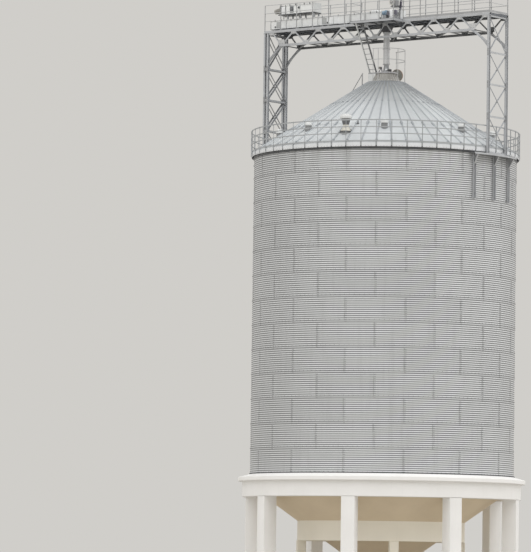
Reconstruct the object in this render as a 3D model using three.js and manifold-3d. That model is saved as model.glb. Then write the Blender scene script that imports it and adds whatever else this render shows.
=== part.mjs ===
// A grain silo on a concrete base: corrugated steel wall, conical roof, and a conveyor gallery
// that crosses over the peak on two braced towers. Millimetres, +Z up, origin on the ground at
// the silo's axis. +X runs along the gallery.
import * as THREE from 'three';
import { mergeVertices } from 'three/addons/utils/BufferGeometryUtils.js';
import Module from 'manifold-3d';

const wasm = await Module();
wasm.setup();

// Driving dimensions
const gap = 0.3; // clearance left where one piece rests on another
const joints = 56; // panel joints round the roof, which the wall's facets share
const step = (2 * Math.PI) / joints;

const wallRadius = 6000;
const wallThickness = 40;
const wallBottom = 5840;
const tierHeight = 1120;
const tiers = 13;
const wallTop = wallBottom + tiers * tierHeight;
const wallSegments = 7; // each is two sheets wide

const fasciaRadius = 6330;
const beamInner = 5700;
const beamBottom = 4940;
const capUnderside = 5650;
const capEdgeTop = 5840;
const capRadius = 6530;
const kerbRadius = 6080;
const kerbTop = 5970;

const columnWidth = 620;
const columnDepth = 650;
const columnCount = 8;

const hopperSlope = Math.tan(THREE.MathUtils.degToRad(35.5));
const hopperShell = 307; // measured straight up
const outletRadius = 300;
const outletLip = 130; // a flat face round the outlet
const innerBeamOuter = 3800;
const innerBeamInner = 3500;
const innerBeamBottom = 3000;
const innerBeamTop = 3900;
const innerColumnWidth = 400;

const eaveRadius = 6110;
const eaveTop = 20610;
const roofSheet = 30; // measured straight up
const peakRadius = 680;
const peakHole = 600;
const roofSlope = (24080 - eaveTop) / (eaveRadius - 660);
const roofAngle = Math.atan(roofSlope);
const ribWidth = 45;
const ribHeight = 45;

const guardInner = 6115;
const guardOuter = 6145;
const guardLevels = [[20670, 70], [21010, 40], [21300, 40], [21610, 50]];

const towerHalfWidth = 705;
const legWidth = 125;
const rightTowerX = 6165;
const leftInnerX = -6300;
const leftOuterX = -6475;
const strutLevels = [22030, 23475, 24920];
const ledgeTop = 20350;
const stiffenerAngle = 2 * step;

const trussY = 700;
const trussThickness = 100;
const galleryLeft = -6520;
const galleryRight = 6215;
const bottomNodes = [-5520, -4105, -2685, -1235, -120, 970, 2425, 3845, 5270];
const firstTopNode = -6100;
const lastTopNode = 5960;
const bottomChordLow = 25940;
const bottomChordHigh = 26040;
const topChordLow = 26600;
const deckLevel = 26710;
const deckTop = 26700;
const railLevels = [27160, 27530, 27910];
const toeBoard = [26724, 26824];
const railWidth = 40;
const platformLeft = -980;
const platformRight = 1450;
const platformEdge = -1500;

const housingHalfWidth = 250;
const housingLow = 26840;
const housingHigh = 27270;
const housingEnd = -100; // where the conveyor's head casing begins
const headEnd = 900;

const roofHeight = (radius) => eaveTop + roofSlope * (eaveRadius - radius);
const hopperHeight = (radius) => innerBeamTop + hopperSlope * (radius - innerBeamOuter);
const radians = THREE.MathUtils.degToRad;

// Each finish is a colour with its roughness and metalness
const finishes = {
  concrete: [0xe4dfd6, 0.85, 0],
  wall: [0xb9bcbe, 0.45, 0.7],
  roof: [0xc8cccd, 0.4, 0.7],
  steel: [0x8f9496, 0.5, 0.7],
  housing: [0xdcdfe0, 0.45, 0.3],
  motor: [0x4b7193, 0.45, 0.2],
  lid: [0xa69a8c, 0.6, 0.3],
};

function material([color, roughness, metalness]) {
  return new THREE.MeshStandardMaterial({ color, roughness, metalness });
}

function piece(parent, name, geometry, finish) {
  const mesh = new THREE.Mesh(geometry, material(finish));
  mesh.name = name;
  parent.add(mesh);
  return mesh;
}

// Solids: a geometry becomes a closed body whose shared corners are merged
function solid(geometry) {
  const bare = geometry.clone();
  bare.deleteAttribute('normal');
  bare.deleteAttribute('uv');
  const merged = mergeVertices(bare, 0.01);
  const corners = merged.index.array;
  const faces = [];
  for (let i = 0; i < corners.length; i += 3) {
    const [a, b, c] = [corners[i], corners[i + 1], corners[i + 2]];
    if (a !== b && b !== c && c !== a) faces.push(a, b, c);
  }
  return new wasm.Manifold(new wasm.Mesh({
    numProp: 3,
    vertProperties: Float32Array.from(merged.attributes.position.array),
    triVerts: Uint32Array.from(faces),
  }));
}

function geometryOf(body) {
  const mesh = body.getMesh();
  const geometry = new THREE.BufferGeometry();
  geometry.setAttribute('position', new THREE.BufferAttribute(mesh.vertProperties, 3));
  geometry.setIndex(new THREE.BufferAttribute(mesh.triVerts, 1));
  geometry.computeVertexNormals();
  return geometry;
}

function fuse(geometries) {
  return geometryOf(geometries.map(solid).reduce((whole, next) => whole.add(next)));
}

function cut(geometry, ...tools) {
  return geometryOf(tools.map(solid).reduce((whole, tool) => whole.subtract(tool), solid(geometry)));
}

function common(geometry, region) {
  return geometryOf(solid(geometry).intersect(solid(region)));
}

// A box between two corners
function block(x0, x1, y0, y1, z0, z1) {
  return new THREE.BoxGeometry(x1 - x0, y1 - y0, z1 - z0)
    .translate((x0 + x1) / 2, (y0 + y1) / 2, (z0 + z1) / 2);
}

// A straight bar in the XY plane from one point to another, centred on z = 0
function flatBar([x0, y0], [x1, y1], width, thickness) {
  return new THREE.BoxGeometry(Math.hypot(x1 - x0, y1 - y0), width, thickness)
    .rotateZ(Math.atan2(y1 - y0, x1 - x0))
    .translate((x0 + x1) / 2, (y0 + y1) / 2, 0);
}

// Stands a flat lattice up: its x runs along world X, or along world Y
const facingY = (geometry, y) => geometry.rotateX(Math.PI / 2).translate(0, y, 0);
const facingX = (geometry, x) => geometry.rotateX(Math.PI / 2).rotateZ(Math.PI / 2).translate(x, 0, 0);

// A body turned round the silo's axis from a closed profile of [radius, height] corners, which runs
// up the outside and down the inside
function turned(profile, sides = joints) {
  const outline = [...profile, profile[0]].map(([radius, height]) => new THREE.Vector2(radius, height));
  return new THREE.LatheGeometry(outline, sides).rotateX(Math.PI / 2);
}

// Radius of a ring of straight facets whose corners stand at the joints
function facetRadius(radius, angle) {
  const middle = (Math.floor(angle / step + 1e-9) + 0.5) * step;
  return (radius * Math.cos(step / 2)) / Math.cos(angle - middle);
}

// A flat plate that follows the facets from one angle to another
function arcPlate(inner, outer, from, to, low, high) {
  const angles = [from];
  for (let k = Math.ceil(from / step + 1e-6); k * step < to - 1e-6; k += 1) angles.push(k * step);
  angles.push(to);
  const corner = (radius) => (angle) => {
    const reach = facetRadius(radius, angle);
    return new THREE.Vector2(reach * Math.cos(angle), reach * Math.sin(angle));
  };
  const outline = new THREE.Shape([
    ...angles.map(corner(outer)),
    ...angles.toReversed().map(corner(inner)),
  ]);
  return new THREE.ExtrudeGeometry(outline, { depth: high - low, bevelEnabled: false }).translate(0, 0, low);
}

// A slab cut from an outline of [along, up] corners, facing Y and centred on the given y
function sideSlab(corners, thickness, y) {
  const outline = new THREE.Shape(corners.map(([along, up]) => new THREE.Vector2(along, up)));
  return new THREE.ExtrudeGeometry(outline, { depth: thickness, bevelEnabled: false })
    .rotateX(Math.PI / 2)
    .translate(0, y + thickness / 2, 0);
}

const silo = new THREE.Group();

// Concrete base
const base = new THREE.Group();
silo.add(base);

piece(base, 'ring_beam', geometryOf(solid(turned([
  [beamInner, beamBottom],
  [fasciaRadius, beamBottom],
  [fasciaRadius, capUnderside],
  [capRadius, capUnderside],
  [capRadius, capEdgeTop],
  [kerbRadius, kerbTop],
  [wallRadius + gap, kerbTop],
  [wallRadius + gap, wallBottom],
  [beamInner, wallBottom],
]))), finishes.concrete);

// The columns stand under the middles of fascia facets, flush with them
const columnFace = fasciaRadius * Math.cos(step / 2);
for (let k = 0; k < columnCount; k += 1) {
  const angle = ((k + 0.5) * 2 * Math.PI) / columnCount;
  const height = beamBottom - gap;
  const column = piece(base, `outer_column_${k + 1}`,
    new THREE.BoxGeometry(columnDepth, columnWidth, height), finishes.concrete);
  const radius = columnFace - columnDepth / 2;
  column.position.set(radius * Math.cos(angle), radius * Math.sin(angle), height / 2);
  column.rotation.z = angle;
}

const hopperRim = beamInner - gap;
piece(base, 'hopper', geometryOf(solid(turned([
  [outletRadius, hopperHeight(outletRadius + outletLip)],
  [outletRadius + outletLip, hopperHeight(outletRadius + outletLip)],
  [hopperRim, hopperHeight(hopperRim)],
  [hopperRim, hopperHeight(hopperRim) + hopperShell],
  [outletRadius, hopperHeight(outletRadius) + hopperShell],
]))), finishes.concrete);

// The inner beam follows the hopper's underside and stands on four posts
const hopperSeat = 2 * gap;
const innerPosts = [0, 1, 2, 3].map((k) => {
  const angle = ((k + 0.5) * Math.PI) / 2;
  const radius = (innerBeamInner + innerBeamOuter) / 2;
  const height = innerBeamBottom + 50;
  return new THREE.BoxGeometry(innerColumnWidth, innerColumnWidth, height)
    .translate(radius, 0, height / 2)
    .rotateZ(angle);
});
piece(base, 'inner_frame', fuse([
  turned([
    [innerBeamInner, innerBeamBottom],
    [innerBeamOuter, innerBeamBottom],
    [innerBeamOuter, hopperHeight(innerBeamOuter) - hopperSeat],
    [innerBeamInner, hopperHeight(innerBeamInner) - hopperSeat],
  ]),
  ...innerPosts,
]), finishes.concrete);

// Corrugated wall, as plain plates two sheets wide
const wall = new THREE.Group();
silo.add(wall);
const segmentAngle = (2 * Math.PI) / wallSegments;
const seamAngle = gap / 2 / wallRadius;
for (let k = 0; k < wallSegments; k += 1) {
  const from = step + k * segmentAngle;
  const plate = arcPlate(wallRadius - wallThickness, wallRadius, from + seamAngle,
    from + segmentAngle - seamAngle, wallBottom + gap, wallTop);
  piece(wall, `wall_segment_${k + 1}`, geometryOf(solid(plate)), finishes.wall);
}

// Conical roof: four quadrants of panels, with a standing rib over each joint
const roof = new THREE.Group();
silo.add(roof);
const eaveInner = wallRadius - wallThickness - 20;
const cone = turned([
  [peakHole, roofHeight(peakRadius) - roofSheet],
  [peakRadius, roofHeight(peakRadius) - roofSheet],
  [eaveInner, roofHeight(eaveInner) - roofSheet],
  [eaveInner, wallTop + gap],
  [eaveRadius, wallTop + gap],
  [eaveRadius, eaveTop],
  [peakRadius, roofHeight(peakRadius)],
  [peakHole, roofHeight(peakRadius)],
]);
const ribInner = 700;
const ribOuter = 6060;
const ribRoot = 20; // how far a rib reaches into the sheet
const seamOffset = 30; // the quadrants part beside a rib, so that the rib stays whole

function rib(angle) {
  const middle = (ribInner + ribOuter) / 2;
  return new THREE.BoxGeometry((ribOuter - ribInner) / Math.cos(roofAngle), ribWidth, ribHeight + ribRoot)
    .translate(0, 0, (ribHeight - ribRoot) / 2)
    .rotateY(roofAngle)
    .translate(middle, 0, roofHeight(middle))
    .rotateZ(angle);
}

for (let q = 0; q < 4; q += 1) {
  const turn = (q * Math.PI) / 2;
  const reach = 7000;
  const region = block(seamOffset + gap / 2, reach, gap / 2 - seamOffset, reach, 20000, 25000).rotateZ(turn);
  const ribs = Array.from({ length: joints / 4 }, (_, k) => rib(turn + k * step));
  piece(roof, `roof_quadrant_${q + 1}`, fuse([common(cone, region), ...ribs]), finishes.roof);
}

// Roof vents stand on the middles of panels, their feet cut to the slope
const facetSlope = Math.atan(roofSlope / Math.cos(step / 2));

function vent(name, radius, angle, profile, sides) {
  const footCut = block(-1000, 1000, -1000, 1000, -1000, gap).rotateY(facetSlope);
  const body = piece(roof, name, cut(turned(profile, sides), footCut), finishes.roof);
  body.rotation.z = angle;
  const seat = roofHeight(radius / Math.cos(step / 2));
  body.position.set(radius * Math.cos(angle), radius * Math.sin(angle), seat);
}

// A straight stack under a flat cap with a low crown
const ventCount = 8;
const ventRadius = 4850;
const firstVent = -8.5 * step;
const ventStack = 120;
const ventCap = 170;
const ventCapLow = 190;
const ventCapHigh = 270;
const ventCrown = 125;
const ventTop = 380;
const ventFoot = -200;
const ventProfile = [
  [0, ventFoot],
  [ventStack, ventFoot],
  [ventStack, ventCapLow],
  [ventCap, ventCapLow],
  [ventCap, ventCapHigh],
  [ventCrown, ventTop - 20],
  [0, ventTop],
];
for (let k = 0; k < ventCount; k += 1) {
  vent(`roof_vent_${k + 1}`, ventRadius, firstVent + (k * 2 * Math.PI) / ventCount, ventProfile, 10);
}

// The tall vent narrows upward from a wide base, then flares to a broad domed cap
const tallVentRadius = 5200;
const tallVentAngle = -11.5 * step;
const tallVentBase = 230;
const tallVentBaseTop = 120;
const tallVentNeck = 130;
const tallVentNeckTop = 400;
const tallVentCap = 275;
const tallVentCapLow = 580;
const tallVentCapHigh = 650;
const tallVentTop = 800;
const tallVentFoot = -300;
vent('tall_roof_vent', tallVentRadius, tallVentAngle, [
  [0, tallVentFoot],
  [tallVentBase, tallVentFoot],
  [tallVentBase, tallVentBaseTop],
  [tallVentNeck + 35, tallVentBaseTop + 30],
  [tallVentNeck, tallVentNeckTop],
  [tallVentCap - 15, tallVentCapLow],
  [tallVentCap, tallVentCapLow],
  [tallVentCap, tallVentCapHigh],
  [tallVentCap - 85, tallVentTop - 50],
  [0, tallVentTop],
], 14);

// Peak: a collar with a landing plate, a guard of two hoops, and a round hatch lid
const peak = new THREE.Group();
silo.add(peak);
const peakLand = roofHeight(peakRadius);
const collarSides = 28;
const collarFoot = 670;
const collarNeck = 450;
const collarWall = 30;
const collarEdge = 500;
const collarHole = 120;
const collarTop = 24450;
const collarPlate = 20;
const landingTop = 24475;
const [landingLeft, landingRight, landingNear, landingFar] = [-720, -300, -420, -180];
const apronFoot = 24130; // a plate hangs under the landing's near edge
const apronThickness = 20;
piece(peak, 'peak_collar', fuse([
  turned([
    [collarFoot - 50, peakLand + gap],
    [collarFoot, peakLand + gap],
    [collarFoot - 10, peakLand + 40],
    [collarNeck, collarTop],
    [collarEdge, collarTop],
    [collarEdge, landingTop],
    [collarHole, landingTop],
    [collarHole, collarTop - collarPlate],
    [collarNeck - collarWall, collarTop - collarPlate],
  ], collarSides),
  block(landingLeft, landingRight, landingNear, landingFar, collarTop, landingTop),
  block(landingLeft, landingRight, landingNear, landingNear + apronThickness, apronFoot, landingTop),
]), finishes.roof);

const hoopInner = 837;
const hoopOuter = 863;
const hoopFrom = radians(-104);
const hoopTo = radians(96);
const hoopLevels = [24970, 25470];
const hoopHalf = (hoopOuter - hoopInner) / 2;
const hoopPostJoints = [-15.5, -12.5, -2.5, 5.5, 14.5]; // counted in panel joints from +X
const hoopPosts = hoopPostJoints.map((k) => {
  const foot = roofHeight(hoopInner / Math.cos(step / 2)) + gap;
  return block(hoopInner, hoopOuter, -hoopHalf, hoopHalf, foot, hoopLevels[1] + hoopHalf)
    .rotateZ(k * step);
});
piece(peak, 'peak_guard_rail', fuse([
  ...hoopLevels.map((level) => (
    arcPlate(hoopInner, hoopOuter, hoopFrom, hoopTo, level - hoopHalf, level + hoopHalf))),
  ...hoopPosts,
]), finishes.steel);

// The lid stands open beside the collar, on a swing arm from the edge of the collar's top
const lidRadius = 280;
const lidThickness = 50;
const lidReach = 740; // from the silo's axis to the lid's middle
const lidLevel = 24410;
const lidLean = radians(10); // of its outward face above level
const lidTurn = (6.5 * 2 * Math.PI) / collarSides; // square to one of the collar's facets
const swingArm = 80;
const lidDisc = new THREE.CylinderGeometry(lidRadius, lidRadius, lidThickness, 24)
  .rotateX(Math.PI / 2)
  .rotateY(Math.PI / 2 - lidLean)
  .translate(lidReach, 0, lidLevel);
const armStart = collarEdge * Math.cos(Math.PI / collarSides) + gap;
const lidArm = block(armStart, lidReach, -swingArm / 2, swingArm / 2, collarTop, landingTop);
piece(peak, 'peak_hatch_lid', fuse([lidDisc, lidArm]).rotateZ(lidTurn), finishes.lid);

// Guard rail round the eave, a post at every second panel joint
const eave = new THREE.Group();
silo.add(eave);
const postDepth = 36;
const postWidth = 40;
const postTop = 21640;
for (let q = 0; q < 4; q += 1) {
  const from = step / 2 + (q * Math.PI) / 2 + seamAngle;
  const to = from + Math.PI / 2 - 2 * seamAngle;
  const rails = guardLevels.map(([level, height]) => (
    arcPlate(guardInner, guardOuter, from, to, level - height / 2, level + height / 2)));
  const posts = Array.from({ length: joints / 8 }, (_, k) => (
    block(eaveRadius + gap, eaveRadius + gap + postDepth, -postWidth / 2, postWidth / 2, wallTop, postTop)
      .rotateZ((q * joints / 4 + 2 * (k + 1)) * step)));
  piece(eave, `eave_guard_rail_${q + 1}`, fuse([...rails, ...posts]), finishes.steel);
}

// Stair up the roof, lying on the two ribs beside its middle line
const stair = new THREE.Group();
silo.add(stair);
stair.rotation.z = 23.5 * step;
const stairHalfWidth = 400;
const stringerWidth = 40;
const stringerHeight = 190;
const stairFoot = 5880;
const stairHead = 1400;
const treadRun = 300;
const treadDepth = 220;
const treadThickness = 30;
const treadLift = 40; // over the stringers' undersides
const firstTread = 150;
const bearerPlaces = [2000, 3800, 5600];
const bearerWidth = 80;
const bearerHeight = 60;
const landingLevel = 24040;
const stairLanding = 900;
const landingStay = 200;
const landingThickness = 40;
const stairBed = (radius) => roofHeight(radius / Math.cos(step / 2)) + ribHeight / Math.cos(roofAngle) + 1;

function slopedStrip(from, to, low, high, thickness, y) {
  return sideSlab([
    [from, stairBed(from) + low],
    [to, stairBed(to) + low],
    [to, stairBed(to) + high],
    [from, stairBed(from) + high],
  ], thickness, y);
}

const treads = [];
for (let at = stairHead + firstTread; at < stairFoot - firstTread; at += treadRun) {
  const half = treadDepth / 2;
  const level = stairBed(at - half) + treadLift;
  treads.push(block(at - half, at + half, -stairHalfWidth, stairHalfWidth, level - treadThickness, level));
}
const bearers = bearerPlaces.map((at) => (
  slopedStrip(at - bearerWidth / 2, at + bearerWidth / 2, 0, bearerHeight, 2 * stairHalfWidth, 0)));
piece(stair, 'roof_stair', fuse([
  slopedStrip(stairHead, stairFoot, 0, stringerHeight, stringerWidth, -stairHalfWidth),
  slopedStrip(stairHead, stairFoot, 0, stringerHeight, stringerWidth, stairHalfWidth),
  ...treads,
  ...bearers,
  sideSlab([
    [stairLanding, landingLevel - landingThickness],
    [stairHead + landingStay, landingLevel - landingThickness],
    [stairHead + landingStay, landingLevel],
    [stairLanding, landingLevel],
  ], 2 * stairHalfWidth + stringerWidth, 0),
  ...[-1, 1].map((side) => sideSlab([
    [stairHead, stairBed(stairHead)],
    [stairHead + landingStay, stairBed(stairHead + landingStay)],
    [stairHead + landingStay, landingLevel - landingThickness / 2],
    [stairHead, landingLevel - landingThickness / 2],
  ], stringerWidth, side * stairHalfWidth)),
]), finishes.steel);

const handrailHeight = 1100;
const handrailFrom = 1700;
const handrailTo = 5800;
const handrailPosts = [1750, 2750, 3750, 4750, 5750];
[['left', 1], ['right', -1]].forEach(([side, sign]) => {
  const y = sign * stairHalfWidth;
  const half = railWidth / 2;
  const posts = handrailPosts.map((at) => (
    slopedStrip(at - half, at + half, stringerHeight + gap, handrailHeight, railWidth, y)));
  piece(stair, `stair_handrail_${side}`, fuse([
    ...posts,
    ...[handrailHeight / 2, handrailHeight].map((height) => (
      slopedStrip(handrailFrom, handrailTo, height - half, height + half, railWidth, y))),
  ]), finishes.steel);
});

// Towers that carry the gallery on ledges at the eave
const towers = new THREE.Group();
silo.add(towers);
const towerFoot = ledgeTop + gap;
const towerHead = topChordLow - gap;
const legThickness = 100;
const strutWidth = 80;
const strutThickness = 36;
const braceWidth = 55;
const braceThickness = 30;
const braceEnd = 60; // from a strut's middle to the braces' ends on the leg
const footBraceRise = 230;

function trestle(x, thickness) {
  const leg = (side) => flatBar([side * towerHalfWidth, towerFoot], [side * towerHalfWidth, towerHead],
    legWidth, thickness);
  const crossing = (low, high) => [-1, 1].map((side) => (
    flatBar([side * towerHalfWidth, low], [-side * towerHalfWidth, high], braceWidth, braceThickness)));
  const half = strutWidth / 2;
  const struts = [towerFoot + half, ...strutLevels, towerHead - half];
  const bars = [leg(-1), leg(1)];
  struts.forEach((level) => {
    bars.push(flatBar([-towerHalfWidth, level], [towerHalfWidth, level], strutWidth, strutThickness));
  });
  struts.slice(1).forEach((level, k) => {
    const low = k === 0 ? towerFoot + footBraceRise : struts[k] + braceEnd;
    bars.push(...crossing(low, level - braceEnd));
  });
  return bars.map((bar) => facingX(bar, x));
}

// Knee braces run down from the ends of the trusses' bottom chords to the legs
const kneeHead = bottomChordLow - gap;
const kneeFoot = 25310;
const kneeWidth = 150; // measured level
const kneeThickness = 70;
function kneeBraces(legX, jointX) {
  const lean = Math.sign(jointX - legX);
  return [-1, 1].map((side) => sideSlab([
    [legX, kneeFoot],
    [legX, kneeFoot + kneeWidth],
    [jointX, kneeHead],
    [jointX + lean * kneeWidth, kneeHead],
  ], kneeThickness, side * towerHalfWidth));
}

const lastNode = bottomNodes.length - 1;
piece(towers, 'right_tower', fuse([
  ...trestle(rightTowerX, legThickness),
  ...kneeBraces(rightTowerX, bottomNodes[lastNode] + kneeWidth),
]), finishes.steel);

const leftThickness = 90;
const battenHeight = 140;
const battenHalf = 50;
const lowestBatten = 20900;
const battens = [lowestBatten, ...strutLevels].flatMap((level) => [-1, 1].map((side) => (
  block(leftOuterX, leftInnerX, side * towerHalfWidth - battenHalf, side * towerHalfWidth + battenHalf,
    level - battenHeight / 2, level + battenHeight / 2))));
piece(towers, 'left_tower', fuse([
  ...trestle(leftInnerX, leftThickness),
  ...trestle(leftOuterX, leftThickness),
  ...battens,
  ...kneeBraces(leftInnerX, bottomNodes[0] - kneeWidth),
]), finishes.steel);

// A ledge follows the wall under the eave, on three stiffeners with gussets
const ledgeThickness = 80;
const ledgeSpread = radians(15); // to each side of its middle
const stiffenerFoot = 18300;
const stiffenerDepth = 90;
const stiffenerWidth = 155;
const ledgeGussetFoot = 19850;
const ledgeGussetThickness = 30;
const rightLedgeRadius = 6350;
const leftLedgeRadius = 6525;

function ledge(name, outer, middle) {
  const seat = wallRadius + gap;
  const core = ledgeTop - ledgeThickness / 2;
  const parts = [arcPlate(seat, outer, middle - ledgeSpread, middle + ledgeSpread,
    ledgeTop - ledgeThickness, ledgeTop)];
  [-1, 0, 1].forEach((k) => {
    const turn = middle + k * stiffenerAngle;
    parts.push(block(seat, seat + stiffenerDepth, -stiffenerWidth / 2, stiffenerWidth / 2,
      stiffenerFoot, core).rotateZ(turn));
    parts.push(sideSlab([
      [seat + 60, ledgeGussetFoot],
      [outer - 40, core],
      [seat + 60, core],
    ], ledgeGussetThickness, 0).rotateZ(turn));
  });
  return piece(towers, name, fuse(parts), finishes.steel);
}
ledge('right_tower_ledge', rightLedgeRadius, 0);
ledge('left_tower_ledge', leftLedgeRadius, Math.PI);

// Gallery: two trusses with the deck between them
const gallery = new THREE.Group();
silo.add(gallery);

const middleOf = (a, b) => (a + b) / 2;
const topNodes = [
  firstTopNode,
  ...bottomNodes.slice(1).map((x, k) => middleOf(bottomNodes[k], x)),
  lastTopNode,
];
const chordEnd = 120; // how far a bottom chord runs on past its last joint
const webWidth = 60;
const webThickness = 50;

function truss(y) {
  const topMiddle = middleOf(topChordLow, deckLevel);
  const bottomMiddle = middleOf(bottomChordLow, bottomChordHigh);
  const bars = [
    flatBar([galleryLeft, topMiddle], [galleryRight, topMiddle], deckLevel - topChordLow, trussThickness),
    flatBar([bottomNodes[0] - chordEnd, bottomMiddle], [bottomNodes[lastNode] + chordEnd, bottomMiddle],
      bottomChordHigh - bottomChordLow, trussThickness),
  ];
  bottomNodes.forEach((x, k) => {
    [topNodes[k], topNodes[k + 1]].forEach((top) => {
      bars.push(flatBar([top, topMiddle], [x, bottomMiddle], webWidth, webThickness));
    });
  });
  return fuse(bars.map((bar) => facingY(bar, y)));
}
piece(gallery, 'gallery_truss_near', truss(-trussY), finishes.steel);
piece(gallery, 'gallery_truss_far', truss(trussY), finishes.steel);

const between = trussY - trussThickness / 2 - gap;
const deckSheet = 50;
const deckHole = 150;
const deckBeamHalf = 40;
const deckBeams = topNodes.map((x) => (
  block(x - deckBeamHalf, x + deckBeamHalf, -between, between, topChordLow, deckTop - deckSheet / 2)));
piece(gallery, 'gallery_deck', fuse([
  cut(block(galleryLeft, galleryRight, -between, between, deckTop - deckSheet, deckTop),
    block(-deckHole, deckHole, -deckHole, deckHole, topChordLow, deckLevel)),
  ...deckBeams,
]), finishes.steel);

// Bracing between the bottom chords, left open where the spout comes through
const bracingWidth = 60;
const bracingThickness = 60;
const bracingClearance = 300;
const bracing = [];
bottomNodes.forEach((x, k) => {
  const side = k % 2 === 0 ? 1 : -1;
  const end = between - bracingWidth;
  if (Math.abs(x) > bracingClearance) {
    bracing.push(flatBar([x, -between], [x, between], bracingWidth, bracingThickness));
  }
  if (k < lastNode) {
    bracing.push(flatBar([x, side * end], [bottomNodes[k + 1], -side * end], bracingWidth, bracingThickness));
  }
});
const bracingRegion = block(galleryLeft, galleryRight, -between, between,
  -bracingThickness, bracingThickness);
piece(gallery, 'gallery_bracing', common(fuse(bracing), bracingRegion)
  .translate(0, 0, middleOf(bottomChordLow, bottomChordHigh)), finishes.steel);

// Side platform beside the spout, with a hatch for the ladder
const ladderX = -525;
const ladderHalf = 185;
const platformInner = -trussY - trussThickness / 2 - gap;
const platformSheet = 40;
const platformBeam = 40;
const hatchMargin = 60;
piece(gallery, 'side_platform', fuse([
  cut(block(platformLeft, platformRight, platformEdge, platformInner, deckTop - platformSheet, deckTop),
    block(ladderX - ladderHalf - hatchMargin, ladderX + ladderHalf + hatchMargin,
      platformEdge + hatchMargin, platformInner - 90, topChordLow, deckLevel)),
  block(platformLeft, platformRight, platformEdge, platformEdge + platformBeam, topChordLow, deckLevel),
  block(platformLeft, platformLeft + platformBeam, platformEdge, platformInner, topChordLow, deckLevel),
  block(platformRight - platformBeam, platformRight, platformEdge, platformInner, topChordLow, deckLevel),
]), finishes.steel);

// Handrails of square tube along the deck's edges, with a toe board at their foot from the given
// stretch on
const toeBoardThickness = 12;
function railRun(points, postSpacing, boardFrom = 0) {
  const half = railWidth / 2;
  const bars = [];
  points.slice(1).forEach((end, i) => {
    const start = points[i];
    const length = Math.hypot(end[0] - start[0], end[1] - start[1]);
    const along = (height, thickness, level) => new THREE.BoxGeometry(length + thickness, thickness, height)
      .rotateZ(Math.atan2(end[1] - start[1], end[0] - start[0]))
      .translate(middleOf(start[0], end[0]), middleOf(start[1], end[1]), level);
    railLevels.forEach((level) => bars.push(along(railWidth, railWidth, level)));
    if (i >= boardFrom) {
      bars.push(along(toeBoard[1] - toeBoard[0], toeBoardThickness, middleOf(...toeBoard)));
    }
    const bays = Math.round(length / postSpacing);
    for (let k = i === 0 ? 0 : 1; k <= bays; k += 1) {
      const x = start[0] + ((end[0] - start[0]) * k) / bays;
      const y = start[1] + ((end[1] - start[1]) * k) / bays;
      bars.push(block(x - half, x + half, y - half, y + half, deckLevel + gap, railLevels[2]));
    }
  });
  return fuse(bars);
}
const railY = trussY + 20;
const railInset = railWidth / 2;
const railEnd = galleryRight - railInset;
const platformRailY = platformEdge + railInset;
const postSpacing = 930;
piece(gallery, 'gallery_handrail_near', railRun([
  [galleryLeft + railInset, -railY],
  [platformLeft + railInset, -railY],
  [platformLeft + railInset, platformRailY],
  [platformRight - railInset, platformRailY],
  [platformRight - railInset, -railY],
  [railEnd, -railY],
], postSpacing, 4), finishes.steel);
piece(gallery, 'gallery_handrail_far', railRun([
  [galleryLeft + railInset, railY],
  [railEnd, railY],
  [railEnd, -railY + 1.5 * railWidth],
], postSpacing), finishes.steel);

// Conveyor housing on skids, with its head casing
const conveyor = new THREE.Group();
silo.add(conveyor);
const skidHalf = 40;
const footBite = 20; // how far a skid or foot reaches into what it carries
const skidPlaces = [-6300, -4900, -3500, -2100, -700, 300];
const flangeHalfWidth = housingHalfWidth + 35;
const flangeThickness = 20;
const flangeDrop = 40; // of its underside below the lid's top

// A bearer across the housing's width, between two levels
const bearerUnder = (x, low, high) => (
  block(x - skidHalf, x + skidHalf, -housingHalfWidth, housingHalfWidth, low, high));
piece(conveyor, 'conveyor_housing', fuse([
  block(galleryLeft, headEnd, -housingHalfWidth, housingHalfWidth, housingLow, housingHigh),
  block(galleryLeft, housingEnd, -flangeHalfWidth, flangeHalfWidth,
    housingHigh - flangeDrop, housingHigh - flangeDrop + flangeThickness),
  ...skidPlaces.map((x) => bearerUnder(x, deckTop + gap, housingLow + footBite)),
]), finishes.housing);

// A shorter second box stands on the housing, its motor at the left end
const upperLeft = -5640;
const upperRight = -3980;
const upperLow = 27440;
const upperHigh = 27950;
const upperFeet = [-5560, -4810, -4060];
const trayOverhang = 40;
const trayLeft = -6070;
const neckLeft = -6120;
const neckHalf = 150;
const neckHigh = upperHigh - 60;
const upperMotorRadius = 120;
const upperMotorLength = 340;
const upperMotorX = -6270;
const upperMotorLevel = 27700;
const trayHalf = housingHalfWidth + trayOverhang;

// A motor lies along X, with its middle at the given place
const motorAt = (radius, length, x, y, z) => (
  new THREE.CylinderGeometry(radius, radius, length, 16).rotateZ(Math.PI / 2).translate(x, y, z));
piece(conveyor, 'upper_box', fuse([
  block(upperLeft, upperRight, -housingHalfWidth, housingHalfWidth, upperLow, upperHigh),
  block(trayLeft, upperRight, -trayHalf, trayHalf, upperLow - 30, upperLow + 10),
  ...upperFeet.map((x) => bearerUnder(x, housingHigh + gap, upperLow + footBite)),
  block(neckLeft, upperLeft, -neckHalf, neckHalf, upperLow, neckHigh),
  motorAt(upperMotorRadius, upperMotorLength, upperMotorX, 0, upperMotorLevel),
]), finishes.housing);

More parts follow.
